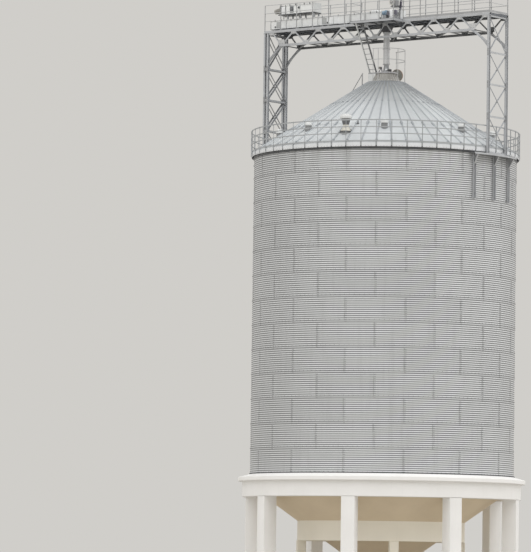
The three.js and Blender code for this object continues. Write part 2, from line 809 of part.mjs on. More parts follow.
// The drive stands beside the head casing: motor, gear box and two wheels on a base plate
const driveY = -400;
const driveHalf = 120;
const driveLeft = 20;
const driveRight = 880;
const driveBase = 26880;
const driveFootWidth = 80;
const driveFeet = [60, 760];
const driveMotorX = 140;
const driveMotorLevel = 27130;
const driveMotorRadius = 100;
const driveMotorLength = 220;
const gearBoxLeft = 405;
const gearBoxRight = 640;
const gearBoxHigh = 27250;
const wheelRadius = 130;
const wheelThickness = 60;
const wheelLevel = 27060;
const wheelPlaces = [350, 740];
const driveBlock = (x0, x1, half, low, high) => block(x0, x1, driveY - half, driveY + half, low, high);
piece(conveyor, 'conveyor_drive', fuse([
  driveBlock(driveLeft, driveRight, driveHalf, driveBase - 40, driveBase),
  ...driveFeet.map((x) => driveBlock(x, x + driveFootWidth, driveHalf, deckTop + gap, driveBase - 20)),
  driveBlock(driveMotorX - 60, driveMotorX + 60, 60, driveBase - 20, driveMotorLevel - 30),
  motorAt(driveMotorRadius, driveMotorLength, driveMotorX, driveY, driveMotorLevel),
  driveBlock(driveMotorX + 60, gearBoxLeft + 15, 40, driveMotorLevel - 40, driveMotorLevel + 40),
  driveBlock(gearBoxLeft, gearBoxRight, 110, driveBase - 20, gearBoxHigh),
  ...wheelPlaces.map((x) => new THREE.CylinderGeometry(wheelRadius, wheelRadius, wheelThickness, 20)
    .translate(x, driveY - driveHalf, wheelLevel)),
]), finishes.motor);

// The head motor is carried over the casing by a leaning post that stands on the deck
const headBox = { left: 440, right: 730, near: -300, far: 0, low: 27450, high: 27822 };
const headDrum = { radius: 130, length: 220, x: 340, y: -190, level: 27610 };
const postY = -320;
const postThickness = 60;
const postFootX = 900;
const postLean = 80; // the post's width, and how far its head stands out past its foot
const postHead = 27680;
const armLeft = 600;
const armRight = 1000;
const armLow = 27500;
const armHeight = 80;
piece(conveyor, 'head_motor', fuse([
  block(headBox.left, headBox.right, headBox.near, headBox.far, headBox.low, headBox.high),
  new THREE.CylinderGeometry(headDrum.radius, headDrum.radius, headDrum.length, 6)
    .translate(headDrum.x, headDrum.y, headDrum.level),
  block(armLeft, armRight, postY - 30, postY + 40, armLow, armLow + armHeight),
  sideSlab([
    [postFootX, deckTop + gap],
    [postFootX + postLean, deckTop + gap],
    [postFootX + 2 * postLean, postHead],
    [postFootX + postLean, postHead],
  ], postThickness, postY),
]), finishes.housing);

// Spout from the deck down to the collar
const spoutRadius = 145;
const funnelHalf = 195;
const funnelLow = 26320;
const funnelHigh = topChordLow - gap;
const pipeTop = funnelLow + 20;
const pipeFoot = landingTop + gap;
const gateLow = 24640;
const gateHigh = 24720;
const [gateLeft, gateRight, gateHalf] = [-250, 210, 200];
const spoutFootRadius = 200;
const spoutFootHeight = 120;
piece(conveyor, 'spout', fuse([
  new THREE.CylinderGeometry(funnelHalf * Math.SQRT2, spoutRadius * Math.SQRT2, funnelHigh - funnelLow, 4)
    .rotateY(Math.PI / 4).rotateX(Math.PI / 2).translate(0, 0, middleOf(funnelLow, funnelHigh)),
  new THREE.CylinderGeometry(spoutRadius, spoutRadius, pipeTop - pipeFoot, 20).rotateX(Math.PI / 2)
    .translate(0, 0, middleOf(pipeTop, pipeFoot)),
  block(gateLeft, gateRight, -gateHalf, gateHalf, gateLow, gateHigh),
  new THREE.CylinderGeometry(spoutFootRadius, spoutFootRadius, spoutFootHeight, 20).rotateX(Math.PI / 2)
    .translate(0, 0, pipeFoot + spoutFootHeight / 2),
]), finishes.steel);

// Ladder from the collar's landing up to the side platform's outer edge
const ladderFootY = -300;
const ladderHeadY = platformEdge + platformBeam + 30;
const ladderRise = topChordLow - landingTop;
const ladderLean = Math.atan2(ladderFootY - ladderHeadY, ladderRise);
const ladderLength = ladderRise / Math.cos(ladderLean);
const rungCount = 9;
const firstRung = 160;
const rungSpacing = 254;
const rungWidth = 28;
const stileWidth = 50;
const stileDepth = 60;
const rungs = Array.from({ length: rungCount }, (_, k) => {
  const rise = firstRung + k * rungSpacing;
  return flatBar([-ladderHalf, rise], [ladderHalf, rise], rungWidth, rungWidth);
});
const stiles = [-1, 1].map((side) => (
  flatBar([side * ladderHalf, -stileDepth], [side * ladderHalf, ladderLength], stileWidth, stileDepth)));
const ladderBody = fuse([...stiles, ...rungs])
  .rotateX(Math.PI / 2 + ladderLean)
  .translate(ladderX, ladderFootY, landingTop);

// Its ends are cut level on the landing and upright against the platform's edge beam
const cutReach = 1000;
const footCut = block(-cutReach, 0, -cutReach, 0, landingTop - 300, landingTop + gap);
const headCut = block(-cutReach, 0, platformEdge - 400, platformEdge + platformBeam + gap, 26000, 27000);
piece(peak, 'peak_ladder', cut(ladderBody, footCut, headCut), finishes.steel);

export default silo;
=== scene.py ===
import math

import bpy
from mathutils import Matrix, Vector


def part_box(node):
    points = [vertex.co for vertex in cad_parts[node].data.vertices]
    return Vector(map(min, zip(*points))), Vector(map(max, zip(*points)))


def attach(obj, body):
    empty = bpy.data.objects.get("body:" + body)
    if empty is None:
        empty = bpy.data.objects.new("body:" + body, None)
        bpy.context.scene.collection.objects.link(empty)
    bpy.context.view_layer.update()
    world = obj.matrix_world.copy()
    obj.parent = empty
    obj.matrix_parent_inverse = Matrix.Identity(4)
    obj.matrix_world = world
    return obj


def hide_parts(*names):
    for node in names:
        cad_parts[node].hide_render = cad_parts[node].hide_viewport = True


# A grain silo: concrete base, corrugated wall, ribbed conical roof, and a conveyor gallery that
# crosses over the peak on two braced towers. Metres, +Z up, +X along the gallery.
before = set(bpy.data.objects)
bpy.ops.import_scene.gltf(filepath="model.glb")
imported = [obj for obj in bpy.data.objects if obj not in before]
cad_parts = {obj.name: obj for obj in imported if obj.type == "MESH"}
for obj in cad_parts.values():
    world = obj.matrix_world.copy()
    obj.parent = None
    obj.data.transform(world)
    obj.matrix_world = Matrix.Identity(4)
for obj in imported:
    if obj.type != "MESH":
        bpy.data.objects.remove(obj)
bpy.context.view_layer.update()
bpy.ops.object.select_all(action="DESELECT")

# Driving sizes
JOINTS = 56
STEP = 2 * math.pi / JOINTS
TIERS = 13
SHEETS = 14
CORRUGATIONS = 12
WALL_FOOT, WALL_TOP = (round(corner.z, 2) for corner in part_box("wall_segment_1"))
WALL_RADIUS = 6.0
TIER_HEIGHT = (WALL_TOP - WALL_FOOT) / TIERS
WALL_BOTTOM = WALL_FOOT + 0.1
SHEET_ANGLE = 2 * math.pi / SHEETS

BEAM_BOTTOM = 4.94
HOPPER_SLOPE = math.tan(math.radians(35.5))

EAVE_RADIUS = 6.11
EAVE_TOP = 20.61
CROWN_RADIUS = 0.91
ROOF_SLOPE = (24.08 - EAVE_TOP) / (EAVE_RADIUS - 0.66)
GUARD_RADIUS = 6.13

TOWER_HALF = 0.705
TOWER_FOOT = 20.3503
TOWER_HEAD = 26.5997
RIGHT_TOWER_X = 6.165
LEFT_TOWER_X = (-6.3, -6.475)
STRUTS = (22.03, 23.475, 24.92)

TRUSS_Y = 0.7
GALLERY_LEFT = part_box("gallery_deck")[0].x
GALLERY_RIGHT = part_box("gallery_deck")[1].x
BOTTOM_NODES = (-5.52, -4.105, -2.685, -1.235, -0.12, 0.97, 2.425, 3.845, 5.27)
TOP_NODES = (-6.1, *((a + b) / 2 for a, b in zip(BOTTOM_NODES, BOTTOM_NODES[1:])), 5.96)
BOTTOM_CHORD = (25.94, 26.04)
TOP_CHORD = (26.6, 26.71)
DECK_TOP = 26.7
RAILS = (27.16, 27.53, 27.91)
PLATFORM = (-0.98, 1.45, -1.5)
HOUSING = (0.25, 26.84, 27.27)
UPPER_BOX = (-5.64, -3.98, 27.5, 27.95)
COLLAR_TOP = 24.43
COLLAR_FOOT = 23.985
COLLAR_RIBS = 28

# Left between pieces that rest on each other
CLEARANCE = 0.0003


def roof_height(radius):
    """The height of the roof panels at a radius."""
    return EAVE_TOP + ROOF_SLOPE * (EAVE_RADIUS - radius)


def polar(radius, angle, height):
    return Vector((radius * math.cos(angle), radius * math.sin(angle), height))


# Modelling by hand

def activate(piece):
    """Selects one piece and nothing else."""
    bpy.ops.object.select_all(action="DESELECT")
    piece.select_set(True)
    bpy.context.view_layer.objects.active = piece


def edit(piece):
    """Enters edit mode with the whole piece selected."""
    activate(piece)
    bpy.ops.object.mode_set(mode="EDIT")
    bpy.ops.mesh.select_mode(type="VERT")
    bpy.ops.mesh.select_all(action="SELECT")


def leave():
    """Goes back to object mode with nothing selected."""
    bpy.ops.object.mode_set(mode="OBJECT")
    bpy.context.active_object.select_set(False)


def close_up():
    """Leaves edit mode with every face turned outwards."""
    bpy.ops.mesh.select_all(action="SELECT")
    bpy.ops.mesh.normals_make_consistent(inside=False)
    leave()


def pick(piece, kind, test):
    """In edit mode, selects the vertices, edges or faces that pass the test, and nothing else."""
    bpy.ops.mesh.select_mode(type=kind)
    bpy.ops.mesh.select_all(action="DESELECT")
    bpy.ops.object.mode_set(mode="OBJECT")
    mesh = piece.data
    for part in {"VERT": mesh.vertices, "EDGE": mesh.edges, "FACE": mesh.polygons}[kind]:
        part.select = test(part)
    bpy.ops.object.mode_set(mode="EDIT")


def settle():
    """The active object's place goes into its mesh."""
    bpy.ops.object.transform_apply(location=True, rotation=True, scale=True)
    piece = bpy.context.active_object
    piece.select_set(False)
    return piece


def modify(piece, kind, **settings):
    """Adds a modifier, sets it up and applies it."""
    activate(piece)
    modifier = piece.modifiers.new(kind.lower(), kind)
    for key, value in settings.items():
        setattr(modifier, key, value)
    bpy.ops.object.modifier_apply(modifier=modifier.name)
    piece.select_set(False)
    return piece


def chamfer(piece, width):
    return modify(piece, "BEVEL", width=width, segments=1, limit_method="ANGLE",
                  angle_limit=math.radians(40))


def smooth(piece, degrees):
    activate(piece)
    bpy.ops.object.shade_smooth_by_angle(angle=math.radians(degrees))
    piece.select_set(False)


def outline(points, closed=False):
    """A chain of edges drawn point by point."""
    bpy.ops.mesh.primitive_plane_add(size=0.02, location=points[0])
    piece = settle()
    edit(piece)
    bpy.ops.mesh.merge(type="CENTER")
    following = [*points[1:], points[0]] if closed else points[1:]
    for start, end in zip(points, following):
        move = Vector(end) - Vector(start)
        bpy.ops.mesh.extrude_region_move(TRANSFORM_OT_translate={"value": move})
    bpy.ops.mesh.select_all(action="SELECT")
    bpy.ops.mesh.remove_doubles(threshold=0.0003)
    leave()
    return piece


def block(corner, opposite, edge=0.0):
    """A box between two corners, its edges broken."""
    low, high = (Vector(map(choose, corner, opposite)) for choose in (min, max))
    bpy.ops.mesh.primitive_cube_add(size=1, location=(low + high) / 2, scale=high - low)
    piece = settle()
    return chamfer(piece, edge) if edge else piece


def pad(centre, half, low, high, edge=0.0):
    """A block round an (x, y) centre, from a low level to a high one."""
    (x, y), (a, b) = centre, half
    return block((x - a, y - b, low), (x + a, y + b, high), edge)


def drum(radius, depth, place, axis="Z", sides=24, edge=0.0, top=None):
    """A cylinder or cone of that depth, centred on a place."""
    turn = {"Z": (0, 0, 0), "X": (0, math.pi / 2, 0), "Y": (-math.pi / 2, 0, 0)}[axis]
    bpy.ops.mesh.primitive_cone_add(vertices=sides, radius1=radius,
                                    radius2=radius if top is None else top,
                                    depth=depth, location=place, rotation=turn)
    piece = settle()
    return chamfer(piece, edge) if edge else piece


def turned(points, steps=2 * JOINTS, closed=True, angle=2 * math.pi):
    """A profile of (radius, height) corners spun round the silo's axis."""
    piece = outline([(radius, 0, height) for radius, height in points], closed)
    edit(piece)
    bpy.ops.mesh.spin(steps=steps, angle=-angle, center=(0, 0, 0), axis=(0, 0, 1))
    bpy.ops.mesh.select_all(action="SELECT")
    bpy.ops.mesh.remove_doubles(threshold=0.0004)
    close_up()
    return piece


def plate(points, push):
    """A flat plate: the closed outline of its corners, pushed out to its thickness."""
    piece = outline(points, closed=True)
    edit(piece)
    bpy.ops.mesh.edge_face_add()
    bpy.ops.mesh.extrude_region_move(TRANSFORM_OT_translate={"value": Vector(push)})
    close_up()
    return piece


def hollow(tube, thick):
    """Opens a short drum into a ring: the end faces are drawn in and joined through."""
    edit(tube)
    pick(tube, "FACE", lambda f: abs(f.normal.z) > 0.9)
    bpy.ops.mesh.inset(thickness=thick)
    bpy.ops.mesh.bridge_edge_loops()
    close_up()
    return tube


def copied(piece, matrix):
    """A copy of a piece, moved by a matrix."""
    twin = piece.copy()
    twin.data = piece.data.copy()
    twin.data.transform(matrix)
    bpy.context.scene.collection.objects.link(twin)
    return twin


def moved(piece, *way):
    return copied(piece, Matrix.Translation(way))


def dropped(*pieces):
    """Deletes pieces that were only copied from."""
    for piece in pieces:
        mesh = piece.data
        bpy.data.objects.remove(piece)
        bpy.data.meshes.remove(mesh)


def joined(parts):
    """Joins parts into the first of them."""
    bpy.ops.object.select_all(action="DESELECT")
    for part in parts:
        part.select_set(True)
    bpy.context.view_layer.objects.active = parts[0]
    if len(parts) > 1:
        bpy.ops.object.join()
    parts[0].select_set(False)
    return parts[0]


def about_axis(angle):
    return Matrix.Rotation(angle, 4, "Z")


def ring(piece, count, pitch, first=0.0):
    """Copies of a piece round the silo's axis, the first one turned to the first angle."""
    return [copied(piece, about_axis(first + k * pitch)) for k in range(count)]


def stock(corners):
    """A metre of rolled section along X, from its (y, z) corners."""
    return plate([(0, y, z) for y, z in corners], (1, 0, 0))


def angle_section(leg, thick):
    h = leg / 2
    return stock([(-h, -h), (h, -h), (h, thick - h), (thick - h, thick - h), (thick - h, h), (-h, h)])


def channel_section(height, width, thick):
    h, w = height / 2, width / 2
    return stock([(-w, -h), (w, -h), (w, thick - h), (thick - w, thick - h),
                  (thick - w, h - thick), (w, h - thick), (w, h), (-w, h)])


def beam_section(height, width, web, flange):
    h, w, t = height / 2, width / 2, web / 2
    return stock([(-w, -h), (w, -h), (w, flange - h), (t, flange - h), (t, h - flange), (w, h - flange),
                  (w, h), (-w, h), (-w, h - flange), (-t, h - flange), (-t, flange - h), (-w, flange - h)])


def flat_section(width, thick):
    t, w = thick / 2, width / 2
    return stock([(-t, -w), (t, -w), (t, w), (-t, w)])


def tube_section(size):
    h, c = size / 2, size / 6
    return stock([(c - h, -h), (h - c, -h), (h, c - h), (h, h - c),
                  (h - c, h), (c - h, h), (-h, h - c), (-h, c - h)])


def run(section, start, end, up=(0, 0, 1), mirror=False):
    """A copy of a section laid from start to end, its height along up."""
    start, end = Vector(start), Vector(end)
    along = end - start
    x = along.normalized()
    y = Vector(up).cross(x).normalized()
    z = x.cross(y)
    if mirror:
        y = -y
    place = Matrix((along, y, z)).transposed().to_4x4()
    place.translation = start
    bar = copied(section, place)
    if mirror:
        bar.data.flip_normals()
    return bar


# Finishes

class Value:
    """A value in a finish, which takes plain arithmetic."""

    def __init__(self, finish, socket):
        self.finish, self.socket = finish, socket

    def __add__(self, other):
        return self.finish.math("ADD", self, other)

    def __sub__(self, other):
        return self.finish.math("SUBTRACT", self, other)

    def __rsub__(self, other):
        return self.finish.math("SUBTRACT", other, self)

    def __mul__(self, other):
        return self.finish.math("MULTIPLY", self, other)

    def __truediv__(self, other):
        return self.finish.math("DIVIDE", self, other)

    def fade(self, low, high, start=0.0, end=1.0):
        """The value's way from low to high, as a way from start to end."""
        return self.finish.node("MapRange", 0, {"Value": self, "From Min": low, "From Max": high,
                                                "To Min": start, "To Max": end})


class Finish:
    """A material in the making, with patterns that follow the place on the object."""

    def __init__(self, name, metallic=0.0, specular=0.5):
        self.material = bpy.data.materials.new(name)
        self.material.use_nodes = True
        self.tree = self.material.node_tree
        self.shader = self.tree.nodes["Principled BSDF"].inputs
        self.shader["Metallic"].default_value = metallic
        self.shader["Specular IOR Level"].default_value = specular
        self.place = self.node("TexCoord", "Object")

    def fill(self, socket, value):
        if isinstance(value, Value):
            self.tree.links.new(value.socket, socket)
        else:
            socket.default_value = (*value, 1) if socket.type == "RGBA" else value

    def node(self, kind, output, inputs=None, **settings):
        made = self.tree.nodes.new("ShaderNode" + kind)
        for key, value in settings.items():
            setattr(made, key, value)
        for name, value in (inputs or {}).items():
            self.fill(made.inputs[name], value)
        return Value(self, made.outputs[output])

    def math(self, operation, a, b=0.0):
        return self.node("Math", 0, {0: a, 1: b}, operation=operation)

    def off_whole(self, value):
        """How far a value is from the nearest whole number."""
        part = self.math("FRACT", value)
        return self.math("MINIMUM", part, 1.0 - part)

    def mix(self, factor, a, b):
        return self.node("Mix", 2, {0: factor, 6: a, 7: b}, data_type="RGBA")

    def noise(self, scale, stretch=(1, 1, 1), detail=4.0, roughness=0.5, place=None):
        """Clouded noise, stretched along the axes."""
        mapped = self.node("Mapping", 0, {"Vector": place or self.place, "Scale": stretch})
        return self.node("TexNoise", 0, {"Vector": mapped, "Scale": scale, "Detail": detail,
                                         "Roughness": roughness})

    def crystals(self, scale):
        """Zinc crystals, each with its own tone."""
        colour = self.node("TexVoronoi", "Color", {"Vector": self.place, "Scale": scale})
        return self.node("SeparateColor", 0, {"Color": colour})

    def axes(self):
        split = self.node("SeparateXYZ", 0, {"Vector": self.place}).socket.node
        return [Value(self, output) for output in split.outputs]

    def point(self, x, y, z=0.0):
        return self.node("CombineXYZ", 0, {"X": x, "Y": y, "Z": z})

    def tone_of(self, point):
        """One tone for all that shares a point."""
        return self.node("TexWhiteNoise", "Value", {"Vector": point}, noise_dimensions="3D")

    def done(self, colour, rough, height=None, strength=0.05, distance=0.002):
        self.fill(self.shader["Base Color"], colour)
        self.fill(self.shader["Roughness"], rough)
        if height:
            bump = {"Height": height, "Strength": strength, "Distance": distance}
            self.fill(self.shader["Normal"], self.node("Bump", 0, bump))
        return self.material


def galvanised(name, light, dark, metallic=0.55, rough=(0.38, 0.55), dirt=0.25):
    """Galvanised steel: zinc crystals, cloudy patches, and grime that has run down."""
    made = Finish(name, metallic)
    grain, cloud = made.crystals(55.0), made.noise(1.6)
    runs = made.noise(2.5, (4, 4, 0.35), 6, 0.6)
    tone = grain * 0.25 + cloud * 0.75
    colour = made.mix(tone.fade(0.25, 0.75), dark, light)
    colour = made.mix(runs.fade(0.52, 0.75, 0, dirt), colour, (0.33, 0.31, 0.28))
    return made.done(colour, tone.fade(0.3, 0.7, rough[1], rough[0]), grain)


def wall_finish():
    """Galvanised wall sheets: each has its own tone, with grime in the corrugations' hollows, painted shade
    on their down-facing slopes, and dark laps that carry painted shade where the sheets overlap.
    """
    made = Finish("wall_sheet", 0.3)
    x, y, z = made.axes()
    level = (z - WALL_BOTTOM) / TIER_HEIGHT
    tier = made.math("FLOOR", level)
    around = made.math("ARCTAN2", y, x) / SHEET_ANGLE - 0.25
    around = around + made.math("MODULO", tier, 2.0) * 0.5 + 2.0 * SHEETS
    sheet = made.math("MODULO", made.math("FLOOR", around), float(SHEETS))
    tone = made.tone_of(made.point(sheet, tier, 3.7))
    grain, cloud = made.crystals(40.0), made.noise(0.7, (1, 1, 1.6), 5, 0.55)
    streak = made.noise(1.7, (3, 3, 0.16), 7, 0.62)
    blend = made.math("POWER", tone, 3.0) * 0.16 + cloud * 0.4 + grain * 0.1
    colour = made.mix(blend.fade(0.1, 0.8), (0.74, 0.75, 0.76), (0.58, 0.59, 0.6))
    colour = made.mix(streak.fade(0.5, 0.78, 0, 0.25), colour, (0.42, 0.42, 0.42))
    # Each corrugation darkens past its hollow: grime in the hollow, and painted shade on the down-facing
    # slope
    wave = (level * CORRUGATIONS - 0.7) * (2 * math.pi)
    colour = made.mix(made.math("COSINE", wave).fade(-0.7, 0.9, 0, 0.9), colour, (0.14, 0.145, 0.155))

    # Laps are darkened: a dark joint, with painted shade where one sheet overlaps the next
    worn = made.noise(3.0, detail=3).fade(0.35, 0.6)
    upright_lap = made.off_whole(around).fade(0.004, 0.016, 1, 0) * worn
    level_lap = made.off_whole(level).fade(0.01, 0.04, 1, 0) * 0.6
    colour = made.mix(made.math("MAXIMUM", upright_lap, level_lap) * 0.45, colour, (0.19, 0.19, 0.195))
    under_eave = z.fade(WALL_TOP - 0.9, WALL_TOP, 0, 0.3)
    colour = made.mix(under_eave * streak.fade(0.45, 0.65), colour, (0.23, 0.225, 0.21))
    return made.done(colour, blend.fade(0.2, 0.8, 0.42, 0.58), grain, 0.04)


def roof_finish():
    """Pale roof sheets, dusty near the peak, with a faint streak down each panel."""
    made = Finish("roof_sheet", 0.35)
    x, y = made.axes()[:2]
    turn = made.math("ARCTAN2", y, x) / STEP
    out = made.math("SQRT", x * x + y * y)
    tone = made.tone_of(made.point(made.math("FLOOR", turn), 1.3))
    streak = made.noise(2.4, (1.6, 1, 1), 6, 0.6, made.point(turn, out * 0.22))
    cloud = made.noise(1.1, detail=5)
    blend = tone * 0.3 + cloud * 0.7
    colour = made.mix(blend.fade(0.25, 0.75), (0.65, 0.675, 0.69), (0.53, 0.55, 0.565))
    colour = made.mix(streak.fade(0.5, 0.75, 0, 0.35), colour, (0.44, 0.455, 0.46))
    dust = out.fade(3.0, 0.7, 0, 0.85) * cloud.fade(0.3, 0.6, 0.5, 1)
    colour = made.mix(dust, colour, (0.34, 0.34, 0.33))
    return made.done(colour, blend.fade(0.2, 0.8, 0.4, 0.58), made.crystals(40.0), 0.04)


def concrete_finish(name, light, dark, stain):
    """Painted concrete, cast in boards, stained under the edges where rain runs."""
    made = Finish(name, 0.0, 0.3)
    z = made.axes()[2]
    cloud = made.noise(0.9, detail=6, roughness=0.55)
    runs = made.noise(1.6, (3, 3, 0.22), 7, 0.6)
    pits = made.noise(28.0, detail=3, roughness=0.6)
    colour = made.mix(cloud.fade(0.3, 0.7), light, dark)
    colour = made.mix(runs.fade(0.55, 0.8, 0, stain), colour, (0.42, 0.39, 0.34))
    splash = z.fade(0.0, 0.7, 0.5, 0.0) * cloud.fade(0.3, 0.6)
    colour = made.mix(splash, colour, (0.32, 0.28, 0.22))
    board = made.off_whole(z / 0.6).fade(0.0, 0.012)
    return made.done(colour, cloud.fade(0.3, 0.7, 0.75, 0.9), board * 0.6 + pits * 0.4, 0.25, 0.006)


def painted(name, colour, worn, rough=0.4, dirt=0.3, metallic=0.0):
    """Sprayed paint with dust in streaks and dulled patches."""
    made = Finish(name, metallic, 0.4)
    cloud = made.noise(3.5, detail=5, roughness=0.55)
    runs = made.noise(5.0, (3, 3, 0.4), 6, 0.6)
    shade = made.mix(cloud.fade(0.35, 0.7), colour, worn)
    shade = made.mix(runs.fade(0.5, 0.75, 0, dirt), shade, (0.3, 0.28, 0.25))
    return made.done(shade, cloud.fade(0.3, 0.7, rough, rough + 0.2), made.noise(90.0, detail=2), 0.06)


# Light and dark tone, and how metallic the steel looks
STEELS = {
    "guard": ((0.46, 0.475, 0.49), (0.36, 0.375, 0.39), 0.3),
    # The roof ribs' crowns take this darker steel as painted shadow along the ribs
    "rib": ((0.42, 0.445, 0.47), (0.32, 0.34, 0.365), 0.3),
    "bolt": ((0.36, 0.36, 0.36), (0.2, 0.2, 0.2)),
    "steel": ((0.41, 0.42, 0.435), (0.3, 0.31, 0.325), 0.35),
    "chord": ((0.53, 0.545, 0.565), (0.42, 0.43, 0.45), 0.35),
    # This darker steel also coats the small vents' stacks, where it is painted shade under their caps
    "dim_steel": ((0.31, 0.315, 0.32), (0.23, 0.235, 0.24), 0.3),
    "board": ((0.42, 0.425, 0.435), (0.33, 0.335, 0.345), 0.35),
    "rail": ((0.6, 0.605, 0.61), (0.48, 0.485, 0.49), 0.4),
    "shade_steel": ((0.2, 0.205, 0.215), (0.11, 0.115, 0.12), 0.3),
    # Near-black steel; under the eave, in the flap notches, under the upper box and round the tall vent's
    # foot it is painted shade
    "dark_steel": ((0.12, 0.125, 0.135), (0.07, 0.073, 0.08), 0.3),
    # The deck steel is dark as painted shade: the plates are seen only from below
    "deck": ((0.16, 0.173, 0.195), (0.12, 0.13, 0.148), 0.2),
    "pipe": ((0.82, 0.825, 0.835), (0.56, 0.565, 0.58), 0.3),
    "collar": ((0.56, 0.56, 0.58), (0.46, 0.46, 0.475), 0.25),
    # Darker beige for the collar's cone: painted shade under the top's edge
    "cone": ((0.5, 0.49, 0.465), (0.4, 0.39, 0.37), 0.25),
    "neck": ((0.72, 0.7, 0.63), (0.6, 0.58, 0.52), 0.15),
    # This pale steel also coats the ladder's left stile, where it is painted light
    "vent": ((0.76, 0.77, 0.77), (0.66, 0.67, 0.67), 0.1),
}
# Clean and worn tone, roughness and dirt, and how metallic the paint looks
PAINTS = {
    "housing": ((0.9, 0.91, 0.91), (0.82, 0.83, 0.83), 0.4, 0.15),
    "new_paint": ((0.93, 0.94, 0.95), (0.88, 0.89, 0.9), 0.4, 0.06),
    "joint": ((0.62, 0.63, 0.63), (0.52, 0.53, 0.53), 0.45, 0.2),
    "housing_shade": ((0.5, 0.51, 0.51), (0.4, 0.41, 0.41), 0.45),
    "guard_paint": ((0.16, 0.15, 0.2), (0.1, 0.1, 0.13), 0.45),
    "case": ((0.76, 0.745, 0.7), (0.66, 0.645, 0.6), 0.4, 0.15),
    "wheel": ((0.27, 0.265, 0.31), (0.2, 0.2, 0.235), 0.5),
    "rust": ((0.46, 0.33, 0.26), (0.33, 0.24, 0.19), 0.7),
    "motor": ((0.34, 0.46, 0.57), (0.24, 0.34, 0.44)),
    "motor_gray": ((0.42, 0.41, 0.385), (0.3, 0.29, 0.27)),
    "lid": ((0.44, 0.44, 0.41), (0.33, 0.32, 0.29), 0.55, 0.3, 0.2),
    "rubber": ((0.045, 0.045, 0.05), (0.08, 0.08, 0.085), 0.7),
}
FINISHES = {
    "concrete": concrete_finish("white_concrete", (0.915, 0.905, 0.895), (0.875, 0.865, 0.85), 0.05),
    # The inner frame's warm tint is painted shade: it stands in the shade under the hopper
    "warm_shade_concrete": concrete_finish("inner_concrete", (0.95, 0.905, 0.8), (0.91, 0.865, 0.76), 0.05),
    # The hopper's darker, warmer concrete is painted shade, warmed by light bounced from the ground
    "shaded_concrete": concrete_finish("hopper_shade_concrete", (0.79, 0.67, 0.5), (0.74, 0.62, 0.46), 0.08),
    "wall": wall_finish(),
    "roof": roof_finish(),
    "flap": galvanised("eave_flap", (0.79, 0.805, 0.83), (0.68, 0.695, 0.715), 0.1, (0.5, 0.6), 0.12),
    **{name: galvanised(name, *values) for name, values in STEELS.items()},
    **{name: painted(name, *values) for name, values in PAINTS.items()},
}


def coat(piece, finish):
    piece.data.materials.clear()
    piece.data.materials.append(FINISHES[finish])
    return piece


def coat_new(piece, finish):
    """The finish for a piece that has none yet."""
    return piece if len(piece.data.materials) else coat(piece, finish)


def fitted(finish, *pieces):
    return [coat(piece, finish) for piece in pieces]


def placed(piece, name, slot, *nodes, degrees=40):
    """Names a finished piece, smooths it, hangs it under the root, and hides the parts it stands for."""
    smooth(piece, degrees)
    piece.name = name
    piece.data.name = name
    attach(piece, "root")
    if nodes:
        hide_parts(*nodes)
    return piece


def steelwork(parts, name, stands_for, finish=None):
    """Joins a frame's parts; those with no finish yet take the one given."""
    whole = joined([coat_new(part, finish) for part in parts])
    return placed(whole, name, "structural_steel", stands_for, degrees=25)


def camera():
    """Stands far off and low, and looks up, as the photograph was taken."""
    azimuth, distance, eye = math.radians(36.0), 189.04, 1.6
    yaw, pitch, roll = (math.radians(a) for a in (-1.638, 4.065, 0.791))
    focal_pixels, long_side, sensor = 4151.4, 552, 36.0
    back = Vector((math.sin(azimuth), -math.cos(azimuth), 0))
    side = Vector((math.cos(azimuth), math.sin(azimuth), 0))
    up = Vector((0, 0, 1))
    ahead = -back * math.cos(yaw) + side * math.sin(yaw)
    right = ahead.cross(up)
    view = ahead * math.cos(pitch) + up * math.sin(pitch)
    top = up * math.cos(pitch) - ahead * math.sin(pitch)
    right, top = (right * math.cos(roll) + top * math.sin(roll),
                  top * math.cos(roll) - right * math.sin(roll))
    lens = bpy.data.cameras.new("camera")
    lens.sensor_width = sensor
    lens.lens = focal_pixels * sensor / long_side
    lens.clip_end = 2000
    eye_point = bpy.data.objects.new("camera", lens)
    place = Matrix((right, top, -view)).transposed().to_4x4()
    place.translation = back * distance + up * eye
    eye_point.matrix_world = place
    bpy.context.scene.collection.objects.link(eye_point)
    bpy.context.scene.camera = eye_point


camera()


# Concrete base

def hopper_height(radius):
    """The height of the hopper's underside at a radius."""
    return 3.9 + HOPPER_SLOPE * (radius - 3.8)


